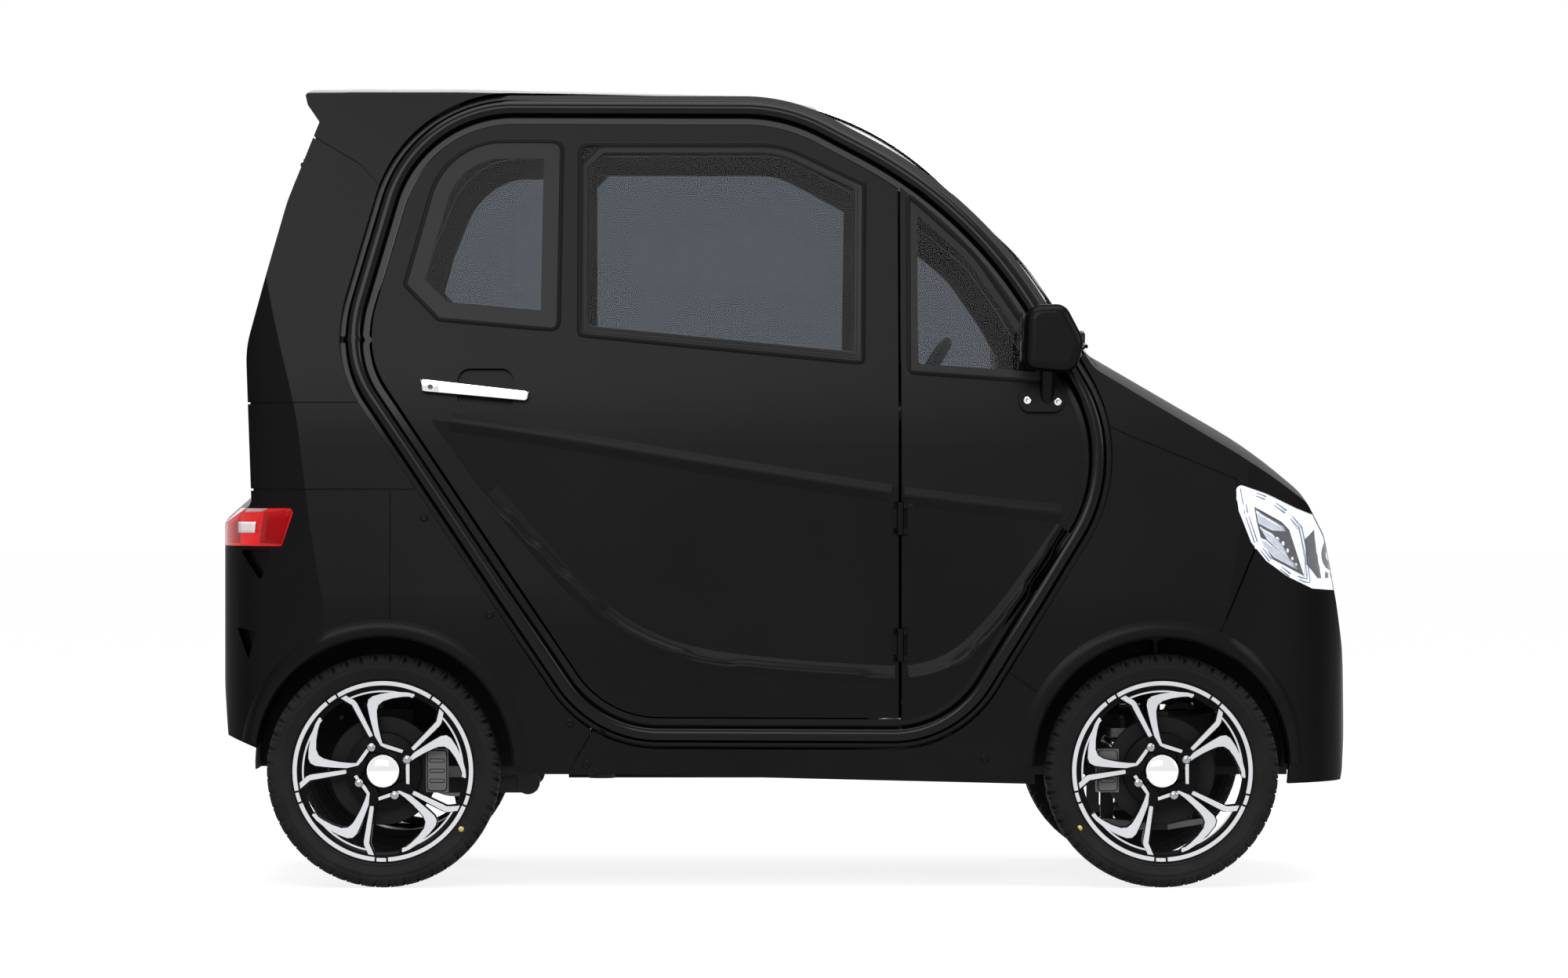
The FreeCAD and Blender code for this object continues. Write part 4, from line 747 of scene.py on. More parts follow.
def turned_profile(profile, steps):
    """Corners and faces of a profile, radius and height, turned round the wheel's axis."""
    corners, faces = [], []
    for step in range(steps):
        angle = 2 * math.pi * step / steps
        corners += [(radius * math.cos(angle), radius * math.sin(angle), height) for radius, height in profile]
    count = len(profile)
    for step in range(steps):
        following = (step + 1) % steps
        for index in range(count - 1):
            faces.append((step * count + index, following * count + index, following * count + index + 1,
                          step * count + index + 1))
    return corners, faces


def moved(shape, u=0.0, v=0.0, turn=0.0):
    cosine, sine = math.cos(turn), math.sin(turn)
    corners = [(u + a * cosine - b * sine, v + a * sine + b * cosine, w) for a, b, w in shape[0]]
    return corners, shape[1]


def gathered(shapes):
    corners, faces = [], []
    for shape_corners, shape_faces in shapes:
        base = len(corners)
        corners += shape_corners
        faces += [tuple(base + index for index in face) for face in shape_faces]
    return corners, faces


CAP_PROFILE = [
    (0.0335, 0.044), (0.0335, 0.0515), (0.0318, 0.0535), (0.0302, 0.0528), (0.0295, 0.0532), (0.026, 0.0552),
    (0.020, 0.0574), (0.012, 0.0590), (0.005, 0.0596), (0.0002, 0.0597),
]
NUT_PROFILE = [
    (0.0095, 0.040), (0.0095, 0.0530), (0.0090, 0.0548), (0.0076, 0.0568), (0.0052, 0.0582), (0.0026, 0.0588),
    (0.0002, 0.0590),
]
VALVE_PROFILE = [(0.0045, 0.030), (0.0045, 0.058), (0.0032, 0.062), (0.0002, 0.0625)]


def add_wheel_faces():
    faces_in_plane = []
    for spoke in range(SPOKES):
        turn = -2 * math.pi * spoke / SPOKES
        for outline in (THIN_FACE, HOOK_FACE):
            scaled = [(u * RIM, v * RIM) for u, v in outline]
            faces_in_plane.append(moved(plate(scaled, FACE_HEIGHT - 0.0006, FACE_HEIGHT + FACE_THICK), turn=turn))
        for first, last, low, high in LIP_ARCS:
            steps = max(2, int(abs(first - last) / 1.5))
            angles = [math.radians(first + (last - first) * step / steps) for step in range(steps + 1)]
            arc = [(math.cos(a) * high * RIM, math.sin(a) * high * RIM) for a in angles]
            arc += [(math.cos(a) * low * RIM, math.sin(a) * low * RIM) for a in reversed(angles)]
            top = 0.0566 if low > 0.9 else 0.0528
            faces_in_plane.append(moved(plate(arc, top - 0.002, top), turn=turn))
    bright = gathered(faces_in_plane)
    cap = turned_profile(CAP_PROFILE, 56)
    nuts = []
    for number in range(NUTS):
        angle = math.radians(NUT_PHASE + 90 * number)
        nuts.append(moved(turned_profile(NUT_PROFILE, 18), NUT_CIRCLE * math.cos(angle), NUT_CIRCLE * math.sin(angle)))
    valve_angle = math.radians(127)
    valve = moved(turned_profile(VALVE_PROFILE, 12), 0.135 * math.cos(valve_angle), 0.135 * math.sin(valve_angle))
    for place, axle_x, side in WHEELS:
        for name, shape, material, slot_name, angle in (
                ("wheel_faces_", bright, machined_face, "alloy", 30), ("wheel_cap_", cap, bright_chrome, "chrome", 40),
                ("wheel_nuts_", gathered(nuts), nut_chrome, "chrome", 40),
                ("wheel_valve_", valve, rubber, "trim_black", 40)):
            corners = [to_world(u, v, w, axle_x, side) for u, v, w in shape[0]]
            piece = new_piece(name + place, corners, shape[1], material, "wheel_" + place)
            tidy_normals(piece)
            sharpen(piece, angle)


# Lamps, whose silver, faceted, dark and red inner parts glow with painted light though the lamps are off

def outer_patch(node, side):
    """The faces of a packed lamp that look out of the car on one side, as their own mesh data."""
    work = bmesh.new()
    work.from_mesh(nodes[node].data)
    bmesh.ops.remove_doubles(work, verts=work.verts, dist=0.00002)
    hidden = []
    for face in work.faces:
        centre = face.calc_center_median()
        looks_out = centre.y * side > 0
        if looks_out:
            hit = everything.ray_cast(centre + face.normal * 0.0008, face.normal, 0.6)
            looks_out = hit[0] is None
        if not looks_out:
            hidden.append(face)
    bmesh.ops.delete(work, geom=hidden, context="FACES")
    return work


def add_patch(name, node, side, depth, material, thickness=0.0, replaced=False):
    work = outer_patch(node, side)
    work.normal_update()
    normals = [vertex.normal.copy() for vertex in work.verts]
    for vertex, normal in zip(work.verts, normals):
        vertex.co -= normal * depth
    mesh = bpy.data.meshes.new(name)
    work.to_mesh(mesh)
    work.free()
    mesh.materials.clear()
    mesh.materials.append(material)
    mesh.shade_flat()
    piece = bpy.data.objects.new(name, mesh)
    bpy.context.scene.collection.objects.link(piece)
    if thickness:
        solid = piece.modifiers.new("thickness", "SOLIDIFY")
        solid.thickness = thickness
        solid.offset = -1
    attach(piece, "body")
    if replaced:
        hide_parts(node)
    return piece


def seen_from(look, across, height, side):
    """The point of the skin and its normal at a place in side, front or back view."""
    if look == "side":
        return on_flank(across, height, side)
    way = -1 if look == "front" else 1
    point, normal, index, distance = flank.ray_cast(Vector((-way * 1.6, side * across, height)), Vector((way, 0, 0)))
    if point is None:
        return None
    return point, -normal if normal.x * way > 0 else normal


def laid_patch(name, outline, side, depth, material, body="body", cuts=3, thick=0.0, look="side"):
    """A flat outline in side, front or back view laid on the skin, at a depth below it."""
    work = bmesh.new()
    loop = [work.verts.new((x * MM, 0, z * MM)) for x, z in outline]
    work.faces.new(loop)
    bmesh.ops.triangulate(work, faces=work.faces)
    bmesh.ops.subdivide_edges(work, edges=work.edges, cuts=cuts, use_grid_fill=True)
    for vertex in work.verts:
        hit = seen_from(look, vertex.co.x, vertex.co.z, side)
        if hit:
            vertex.co = hit[0] - hit[1] * depth
    mesh = bpy.data.meshes.new(name)
    work.to_mesh(mesh)
    work.free()
    mesh.materials.append(material)
    mesh.shade_smooth()
    piece = bpy.data.objects.new(name, mesh)
    bpy.context.scene.collection.objects.link(piece)
    if thick:
        solid = piece.modifiers.new("thickness", "SOLIDIFY")
        solid.thickness = thick
        solid.offset = 0
    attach(piece, body)
    return piece


LAMP_OUTLINE = [(890, 799), (950, 778), (994, 750), (1027, 716), (1040, 660), (1046, 598), (996, 614), (953, 645), (922, 682), (901, 741)]
LAMP_WELL = [(924, 755), (981, 725), (997, 709), (1029, 617), (962, 651), (938, 691), (929, 725)]
LAMP_BLADE_UPPER = [(927, 748), (985, 716), (990, 706), (960, 708), (932, 722)]
LAMP_BLADE_LOWER = [(936, 694), (948, 690), (1012, 640), (1014, 630), (964, 655), (944, 676)]
LAMP_BLADE_MIDDLE = [(934, 716), (962, 702), (985, 676), (1000, 646), (975, 668), (950, 690)]
LAMP_LINES = (3, 9)
LAMP_LINE = [(-0.0008, -0.0005), (-0.0008, 0.0003), (0.0008, 0.0003), (0.0008, -0.0005)]
LAMP_BEADS = [(972, 690, 5.5), (984, 682, 5.0), (966, 678, 4.5), (994, 668, 4.5), (980, 668, 4.0), (1004, 652, 4.0), (1012, 640, 3.5)]


def add_headlamps():
    for side, tag in ((-1, "right"), (1, "left")):
        add_patch("headlamp_lens_" + tag, "headlamps", side, 0.0, clear_lens, 0.0022, True)
        add_patch("headlamp_frame_" + tag, "headlamps", side, 0.0034, lamp_silver_painted_glow, 0.0008)
        laid_patch("headlamp_well_" + tag, LAMP_WELL, side, 0.0030, lamp_dark_painted_glow, thick=0.0003)
        for name, outline, depth in (("upper", LAMP_BLADE_UPPER, 0.0027), ("lower", LAMP_BLADE_LOWER, 0.0027),
                                     ("middle", LAMP_BLADE_MIDDLE, 0.0025)):
            laid_patch("headlamp_%s_blade_%s" % (name, tag), outline, side, depth, lamp_facets_painted_glow, thick=0.0003)
        for number, inset in enumerate(LAMP_LINES):
            outline = shrunk([(x, z, 6) for x, z in LAMP_OUTLINE], inset)
            corners, faces = swept(flank_path(outline, side, -0.0028), LAMP_LINE)
            line = new_piece("headlamp_line_%d_%s" % (number, tag), corners, faces, lamp_line, "body")
            tidy_normals(line)
        beads = []
        for x, z, radius in LAMP_BEADS:
            hit = on_flank(x * MM, z * MM, side)
            point, normal = hit
            across = normal.cross(Vector((0, 0, 1))).normalized()
            up = across.cross(normal)
            dome = turned_profile([(radius * MM, -0.0034), (radius * MM * 0.8, -0.0028), (radius * MM * 0.45, -0.0025), (0.0001, -0.0024)], 14)
            beads.append(([point + across * a + up * b + normal * c for a, b, c in dome[0]], dome[1]))
        corners, faces = gathered(beads)
        piece = new_piece("headlamp_beads_" + tag, corners, faces, bright_chrome, "body")
        tidy_normals(piece)


FRONT_WELL = [(288, 708), (452, 708), (474, 690), (470, 640), (440, 612), (288, 612)]
FRONT_DISHES = [
    ("dish", 398, 660, 38, 0.00265, "silver"), ("glass", 398, 660, 31, 0.00250, "dark"),
    ("bulb", 398, 660, 15, 0.00235, "silver"),
    ("small_dish", 325, 660, 27, 0.00265, "silver"), ("small_glass", 325, 660, 21, 0.00250, "facets"),
]


def circle(middle_x, middle_z, radius, steps=24):
    angles = [2 * math.pi * step / steps for step in range(steps)]
    return [(middle_x + radius * math.cos(angle), middle_z + radius * math.sin(angle)) for angle in angles]


def add_headlamp_fronts():
    # The silver, dark and facets finishes here glow with painted light from their emission.
    shades = {"silver": lamp_silver_painted_glow, "dark": lamp_dark_painted_glow, "facets": lamp_facets_painted_glow}
    for side, tag in ((-1, "right"), (1, "left")):
        laid_patch("headlamp_front_well_" + tag, FRONT_WELL, side, 0.0028, lamp_dark_painted_glow, thick=0.0002,
                   look="front")
        for name, across, height, radius, depth, shade in FRONT_DISHES:
            laid_patch("headlamp_%s_%s" % (name, tag), circle(across, height, radius), side, depth, shades[shade],
                       thick=0.0002, look="front")


TAIL_BACK_WHITE = [(452, 724), (500, 724), (500, 704), (452, 704)]
TAIL_BACK_DEEP = [(345, 738), (436, 738), (436, 682), (345, 682)]
TAIL_WHITE = [(-1094, 725), (-1056, 725), (-1058, 703), (-1094, 703)]
TAIL_PALE = [(-1086, 752), (-1030, 751), (-1043, 745), (-1090, 744)]
TAIL_DEEP = [(-1038, 744), (-982, 749), (-1003, 681), (-1048, 683)]


def add_tail_lamps():
    for side, tag in ((-1, "right"), (1, "left")):
        add_patch("tail_lens_" + tag, "tail_lamps", side, 0.0, red_lens, 0.0025, True)
        add_patch("tail_reflector_painted_glow_" + tag, "tail_lamps", side, 0.0034, tail_reflector_painted_glow, 0.0008)
        laid_patch("tail_window_" + tag, TAIL_WHITE, side, -0.0006, tail_white, thick=0.0008)
        laid_patch("tail_brow_" + tag, TAIL_PALE, side, -0.0005, tail_pale, thick=0.0006)
        laid_patch("tail_deep_painted_glow_" + tag, TAIL_DEEP, side, -0.0004, tail_deep_painted_glow, thick=0.0005)
        laid_patch("tail_back_window_" + tag, TAIL_BACK_WHITE, side, 0.0029, tail_white, thick=0.0002,
                   look="back")
        laid_patch("tail_back_deep_" + tag, TAIL_BACK_DEEP, side, 0.0029, tail_deep_painted_glow, thick=0.0002,
                   look="back")


# Screws, studs and small fittings

SCREWS = [(-719, 734), (-589, 542), (-431, 328), (-370, 305), (-398, 245), (389, 256)]
SCREW_PROFILE = [(0.0085, -0.001), (0.0085, 0.0008), (0.0072, 0.0024), (0.0050, 0.0030), (0.0040, 0.0022), (0.0002, 0.0020)]


def laid_turnings(name, places, profile, side, material, steps=18):
    shapes = []
    for x, z in places:
        point, normal = on_body((x * MM, side * 1.5, z * MM), (0, -side, 0))
        if point is None:
            continue
        if normal.y * side < 0:
            normal = -normal
        across = normal.cross(Vector((0, 0, 1))).normalized()
        up = across.cross(normal)
        shape = turned_profile(profile, steps)
        shapes.append(([point + across * a + up * b + normal * c for a, b, c in shape[0]], shape[1]))
    corners, faces = gathered(shapes)
    piece = new_piece(name, corners, faces, material, "body")
    tidy_normals(piece)
    sharpen(piece, 35)


def add_screws():
    for side, tag in ((-1, "right"), (1, "left")):
        laid_turnings("body_screws_" + tag, SCREWS, SCREW_PROFILE, side, bolt_black)


everything = node_tree_of([name for name in nodes if name != "wheel_liners"])


# Draped trims: soft ridges along the scoop's edges and the rolled lips of the wheel arches

SCOOP_UPPER = [(-668, 924), (-420, 884), (-180, 843), (60, 804), (216, 779), (380, 758), (540, 742)]
SCOOP_LOWER = [
    (-588, 786), (-520, 706), (-440, 616), (-372, 550), (-318, 511), (-250, 478), (-170, 455), (-60, 441),
    (60, 431), (170, 424), (240, 422), (300, 434), (350, 464), (400, 514), (450, 576), (500, 646), (546, 712),
]
RIDGE = [(-0.019, 0.0002), (-0.013, 0.0014), (-0.006, 0.0029), (0.0, 0.0034), (0.006, 0.0028), (0.012, 0.0013), (0.018, 0.0002)]
LIP = [
    (0.0015, -0.016), (0.0015, 0.0020), (0.004, 0.0046), (0.009, 0.0060), (0.016, 0.0062), (0.023, 0.0050),
    (0.029, 0.0026), (0.034, 0.0002),
]
SHUT_X = 0.222
ARCHES = [("front", FRONT_AXLE_X, 0.254, -47, 218), ("rear", REAR_AXLE_X, 0.256, -38, 206)]
ARCH_RISE = 0.011


def smooth_line(points, spacing=0.012, rounds=10):
    """Even steps along a broken line in side view, with its corners eased."""
    path = [Vector((x * MM, z * MM)) for x, z in points]
    dense = []
    for start, end in zip(path, path[1:]):
        steps = max(1, int((end - start).length / spacing))
        dense += [start.lerp(end, step / steps) for step in range(steps)]
    dense.append(path[-1])
    for number in range(rounds):
        eased = [dense[0]]
        eased += [(before + point * 2 + after) / 4 for before, point, after in zip(dense, dense[1:], dense[2:])]
        dense = eased + [dense[-1]]
    return dense


def draped(path, section, side, outward=None):
    """Corners and faces of a section laid over the side skin along a path in side view."""
    corners, faces = [], []
    width = len(section)
    rows = []
    for index, point in enumerate(path):
        along = (path[min(index + 1, len(path) - 1)] - path[max(index - 1, 0)]).normalized()
        across = Vector((-along.y, along.x))
        if outward is not None and across.dot(point - outward) < 0:
            across = -across
        row = []
        for shift, height in section:
            place = point + across * shift
            hit = on_flank(place.x, place.y, side)
            if hit is None or hit[0].y * side < 0.30:
                row = None
                break
            row.append(hit[0] + hit[1] * height)
        rows.append(row)
    for row in rows:
        if row:
            corners += row
    count = 0
    for first, second in zip(rows, rows[1:]):
        if first:
            count += 1
        if first and second:
            base = (count - 1) * width
            faces += [(base + index, base + index + 1, base + width + index + 1, base + width + index)
                      for index in range(width - 1)]
    return corners, faces


def add_scoop_ridges():
    for side, tag in ((-1, "right"), (1, "left")):
        for name, line in (("upper", SCOOP_UPPER), ("lower", SCOOP_LOWER)):
            path = smooth_line(line)
            door_part = [point for point in path if point.x < SHUT_X - 0.005]
            fixed_part = [point for point in path if point.x > SHUT_X + 0.005]
            for body, part in (("door_" + tag, door_part), ("body", fixed_part)):
                corners, faces = draped(part, RIDGE, side)
                ridge = new_piece("scoop_%s_ridge_%s_%s" % (name, body, tag), corners, faces, paint, body)
                tidy_normals(ridge)


def add_arch_lips():
    for side, tag in ((-1, "right"), (1, "left")):
        for place, axle_x, radius, first, last in ARCHES:
            centre = Vector((axle_x, AXLE_Z + ARCH_RISE))
            path = []
            steps = int((last - first) / 2.5)
            for step in range(steps + 1):
                angle = math.radians(first + (last - first) * step / steps)
                path.append(centre + Vector((math.cos(angle), math.sin(angle))) * radius)
            path = [point for point in path if point.y > 0.235]
            corners, faces = draped(path, LIP, side, centre)
            lip = new_piece("%s_arch_lip_%s" % (place, tag), corners, faces, paint, "body")
            tidy_normals(lip)
            sharpen(lip, 60)


# Shut line: a dark seal down the front edge of each door

SEAL_X = 217.2
SEAL_ENDS = (330, 1392)
SEAL_SECTION = [(-0.0044, 0.0001), (-0.0040, 0.0006), (0.0040, 0.0006), (0.0044, 0.0001)]


def add_shut_line_seals():
    for side, tag in ((-1, "right"), (1, "left")):
        path = smooth_line([(SEAL_X, SEAL_ENDS[0]), (SEAL_X, SEAL_ENDS[1])])
        corners, faces = draped(path, SEAL_SECTION, side)
        seal = new_piece("shut_line_seal_" + tag, corners, faces, rubber, "door_" + tag)
        tidy_normals(seal)


# Door handles: the key cap at the rear end, with a lock in it

KEY_CAP = [(-724, 1003), (-690, 1000), (-690, 982), (-722, 985)]


def add_handle_details():
    for side, tag in ((-1, "right"), (1, "left")):
        body = "door_" + tag
        node = "door_handle_" + tag
        low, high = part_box(node)
        outer_y = high[1] if side > 0 else -low[1]
        outline = [(x * MM, z * MM) for x, z in KEY_CAP]
        corners = [(x, side * (outer_y + 0.0003), z) for x, z in outline]
        corners += [(x, side * (outer_y - 0.0035), z) for x, z in outline]
        rim = [(x + (0.0015 if x < -0.7 else -0.0015), side * (outer_y + 0.0010), z + (0.0015 if z < 0.99 else -0.0015))
               for x, z in outline]
        corners += rim
        faces = [(0, 1, 5, 4), (1, 2, 6, 5), (2, 3, 7, 6), (3, 0, 4, 7), (0, 1, 9, 8), (1, 2, 10, 9), (2, 3, 11, 10),
                 (3, 0, 8, 11), (8, 9, 10, 11), (4, 5, 6, 7)]
        cap = new_piece("handle_key_cap_" + tag, corners, faces, satin_chrome, body)
        tidy_normals(cap)
        sharpen(cap, 30)
        keyhole = turned_profile([(0.0052, -0.001), (0.0052, 0.0010), (0.0042, 0.0016), (0.0030, 0.0008), (0.0001, 0.0006)], 20)
        middle = Vector((-0.7065, side * (outer_y + 0.0010), 0.9925))
        corners = [middle + Vector((a, side * c, b)) for a, b, c in keyhole[0]]
        # The lock takes the dark lamp finish, with its faint painted glow.
        lock = new_piece("handle_lock_" + tag, corners, keyhole[1], lamp_dark_painted_glow, body)
        tidy_normals(lock)
        sharpen(lock, 30)


# Mirrors: the glass, its rim and the base screws

MIRROR_CENTRE = (0.6525, 1.088)
MIRROR_SCREWS = [(473, 965), (533, 962)]
BASE_SCREW = [(0.0075, 0.001), (0.0075, 0.0046), (0.0062, 0.0056), (0.0040, 0.0056), (0.0032, 0.0044), (0.0002, 0.0042)]


def rounded_box(half_width, half_height, radius, steps=6):
    outline = []
    for corner_x, corner_y, first in ((1, 1, 0), (-1, 1, 90), (-1, -1, 180), (1, -1, 270)):
        for step in range(steps + 1):
            angle = math.radians(first + 90 * step / steps)
            outline.append((corner_x * (half_width - radius) + radius * math.cos(angle),
                            corner_y * (half_height - radius) + radius * math.sin(angle)))
    return outline


def add_mirror_details():
    rear_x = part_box("mirrors")[0][0]
    shell = plate(rounded_box(0.047, 0.046, 0.02), 0.0, 0.0012, 0.0008)
    rim_outer = rounded_box(0.0515, 0.0505, 0.023)
    rim_inner = rounded_box(0.0465, 0.0455, 0.0195)
    count = len(rim_outer)
    rim_corners = [(u, v, 0.0) for u, v in rim_outer] + [(u, v, 0.0022) for u, v in rim_inner]
    rim_corners += [(u, v, 0.0004) for u, v in rounded_box(0.0455, 0.0445, 0.019)]
    rim_faces = []
    for layer in range(2):
        for index in range(count):
            turn = (index + 1) % count
            rim_faces.append((layer * count + index, layer * count + turn, (layer + 1) * count + turn,
                              (layer + 1) * count + index))
    for side, tag in ((-1, "right"), (1, "left")):
        laid_turnings("mirror_base_screws_" + tag, MIRROR_SCREWS, BASE_SCREW, side, nut_chrome)
        middle = Vector((rear_x - 0.0002, side * MIRROR_CENTRE[0], MIRROR_CENTRE[1]))
        for name, shape, material, slot_name in (("mirror_glass_", shell, mirror_silver, "chrome"),
                                                 ("mirror_rim_", (rim_corners, rim_faces), soft_plastic, "body_paint")):
            corners = [middle + Vector((-w, -side * u, v)) for u, v, w in shape[0]]
            piece = new_piece(name + tag, corners, shape[1], material, "body")
            tidy_normals(piece)
            sharpen(piece, 30)


# Wiper blade, roof knob and rear glass fittings

def tube_between(start, end, radius, steps=12, ends=True):
    along = (end - start).normalized()
    side_way = along.cross(Vector((0, 0, 1))).normalized() if abs(along.z) < 0.95 else Vector((1, 0, 0))
    up = side_way.cross(along)
    corners = []
    for stop in (start, end):
        for step in range(steps):
            angle = 2 * math.pi * step / steps
            corners.append(stop + (side_way * math.cos(angle) + up * math.sin(angle)) * radius)
    faces = [(step, (step + 1) % steps, steps + (step + 1) % steps, steps + step) for step in range(steps)]
    if ends:
        faces += [tuple(range(steps)), tuple(range(steps, 2 * steps))]
    return corners, faces


def on_body(place, direction):
    hit = everything.ray_cast(Vector(place), Vector(direction))
    return hit[0], hit[1]


def turned_at(point, normal, profile, steps=24):
    across = normal.cross(Vector((0, 1, 0)))
    if across.length < 0.1:
        across = normal.cross(Vector((0, 0, 1)))
    across.normalize()
    up = across.cross(normal)
    shape = turned_profile(profile, steps)
    return [point + across * a + up * b + normal * c for a, b, c in shape[0]], shape[1]


BLADE_START = (0.604, 0.115)
BLADE_END = (0.596, -0.330)
KNOB_PROFILE = [(0.017, -0.006), (0.017, -0.0005), (0.0155, 0.0006), (0.011, 0.0014), (0.0001, 0.0016)]
STUD_PROFILE = [(0.012, -0.003), (0.012, 0.003), (0.0105, 0.0045), (0.007, 0.005), (0.0001, 0.0045)]


def add_wiper_blade():
    shapes = []
    points = []
    steps = 22
    for step in range(steps + 1):
        share = step / steps
        x = BLADE_START[0] + (BLADE_END[0] - BLADE_START[0]) * share
        y = BLADE_START[1] + (BLADE_END[1] - BLADE_START[1]) * share
        hit = on_body((x, y, 2.0), (0, 0, -1))
        if hit[0] is not None:
            points.append((hit[0], hit[1] if hit[1].z > 0 else -hit[1]))
    for number in range(len(points) - 1):
        start, start_normal = points[number]
        end, end_normal = points[number + 1]
        shapes.append(tube_between(start + start_normal * 0.0022, end + end_normal * 0.0022, 0.0024, 8, False))
        shapes.append(tube_between(start + start_normal * 0.0080, end + end_normal * 0.0080, 0.0040, 8, False))
    corners, faces = gathered(shapes)
    blade = new_piece("wiper_blade", corners, faces, rubber, "body")
    tidy_normals(blade)


def add_roof_knob():
    point, normal = on_body((-0.359, 0.0, 2.0), (0, 0, -1))
    corners, faces = turned_at(point, Vector((0, 0, 1)), KNOB_PROFILE)
    knob = new_piece("roof_knob", corners, faces, soft_plastic, "body")
    tidy_normals(knob)
    sharpen(knob, 35)


def add_hatch_fittings():
    low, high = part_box("rear_hatch")
    half_width = high[1] - 0.012
    top, bottom = high[2] - 0.030, low[2] + 0.012
    tree = node_tree_of(["rear_hatch"])
    outline = [(u, v + (top + bottom) / 2) for u, v in rounded_box(half_width, (top - bottom) / 2, 0.05, 8)]
    stops = []
    dense = []
    for index, point in enumerate(outline):
        following = outline[(index + 1) % len(outline)]
        gap = math.dist(point, following)
        parts = max(1, int(gap / 0.012))
        dense += [(point[0] + (following[0] - point[0]) * step / parts, point[1] + (following[1] - point[1]) * step / parts)
                  for step in range(parts)]
    for y, z in dense:
        point, normal, index, distance = tree.ray_cast(Vector((-2.5, y, z)), Vector((1, 0, 0)))
        if point is None:
            continue
        if normal.x > 0:
            normal = -normal
        stops.append([point, normal])
    path = []
    centre = sum((stop[0] for stop in stops), Vector()) / len(stops)
    for index, (point, normal) in enumerate(stops):
        along = (stops[(index + 1) % len(stops)][0] - stops[index - 1][0]).normalized()
        across = along.cross(normal).normalized()
        if across.dot(point - centre) < 0:
            across = -across
        path.append((point, normal, across))
    corners, faces = swept(path, HATCH_BAND)
    band = new_piece("rear_glass_band", corners, faces, frit, "rear_hatch")
    tidy_normals(band)
    sharpen(band, 40)
    shapes = []
    for y in (-0.36, 0.36):
        point, normal, index, distance = tree.ray_cast(Vector((-2.5, y, 1.403)), Vector((1, 0, 0)))
        if point is not None:
            shapes.append(turned_at(point, normal if normal.x < 0 else -normal, STUD_PROFILE))
    if shapes:
        corners, faces = gathered(shapes)
        studs = new_piece("rear_glass_studs", corners, faces, satin_chrome, "rear_hatch")
        tidy_normals(studs)
        sharpen(studs, 35)


HATCH_BAND = [(-0.016, -0.0008), (-0.016, 0.0006), (0.010, 0.0006), (0.010, -0.0008)]


# Seats: sewn covers, swollen as cloth from a slightly smaller form

SEAT_VOXEL = 0.007
SEAT_INSET = 17
SEAT_CAP = 0.024
SEAT_FRAMES = 20
CHANNEL_DEPTH = 0.007
CHANNEL_HALF = 0.006
CUSHION = [(-250, 470, 30), (190, 470, 40), (205, 590, 45), (-250, 560, 20)]
BACK = [(-262, 530, 15), (-150, 530, 20), (-262, 1120, 45), (-350, 1110, 40)]
REAR_CUSHION = [(-880, 521, 10), (-560, 521, 30), (-550, 620, 40), (-880, 600, 20)]
REAR_BACK = [(-880, 600, 10), (-790, 610, 30), (-880, 1040, 40), (-960, 1030, 40)]
FRONT_HALF = 0.300
REAR_HALF = 0.290
PADS = [
    ("front_seat_cushion", CUSHION, FRONT_HALF, "front_seat", (0.26, 0.0), (-0.11, 0.03)),
    ("front_seat_back", BACK, FRONT_HALF, "front_seat", (0.26, 0.0), (0.72, 0.90)),
    ("rear_seat_cushion", REAR_CUSHION, REAR_HALF, "rear_seat", (0.25, 0.0), (-0.66,)),
    ("rear_seat_back", REAR_BACK, REAR_HALF, "rear_seat", (0.25, 0.0), (0.82,)),
]


def evaluated_mesh(piece):
    """The piece's mesh with its modifiers worked in."""
    graph = bpy.context.evaluated_depsgraph_get()
    return bpy.data.meshes.new_from_object(piece.evaluated_get(graph))


def take_modifiers(piece):
    mesh = evaluated_mesh(piece)
    piece.modifiers.clear()
    piece.data = mesh


def prism_mesh(name, outline, half_width):
    points = sampled(outline, 0.012)
    count = len(points)
    corners = [(point.x, -half_width, point.y) for point in points] + [(point.x, half_width, point.y) for point in points]
    faces = [tuple(range(count)), tuple(range(2 * count - 1, count - 1, -1))]
    faces += [(index, index + count, (index + 1) % count + count, (index + 1) % count) for index in range(count)]
    mesh = bpy.data.meshes.new(name)
    mesh.from_pydata(corners, [], faces)
    return mesh


def swell(pad):
    """Blows the pad up as cloth, no further from its start than the cap."""
    start = [vertex.co.copy() for vertex in pad.data.vertices]
    cloth = pad.modifiers.new("swell", "CLOTH")
    cloth.settings.use_pressure = True
    cloth.settings.uniform_pressure_force = 4
    cloth.settings.effector_weights.gravity = 0
    scene = bpy.context.scene
    scene.frame_start = 1
    scene.frame_end = SEAT_FRAMES
    for number in range(1, SEAT_FRAMES + 1):
        scene.frame_set(number)
    mesh = evaluated_mesh(pad)
    pad.modifiers.clear()
    scene.frame_set(1)
    for vertex, place in zip(mesh.vertices, start):
        step = vertex.co - place
        if step.length > SEAT_CAP:
            vertex.co = place + step.normalized() * SEAT_CAP
    pad.data = mesh


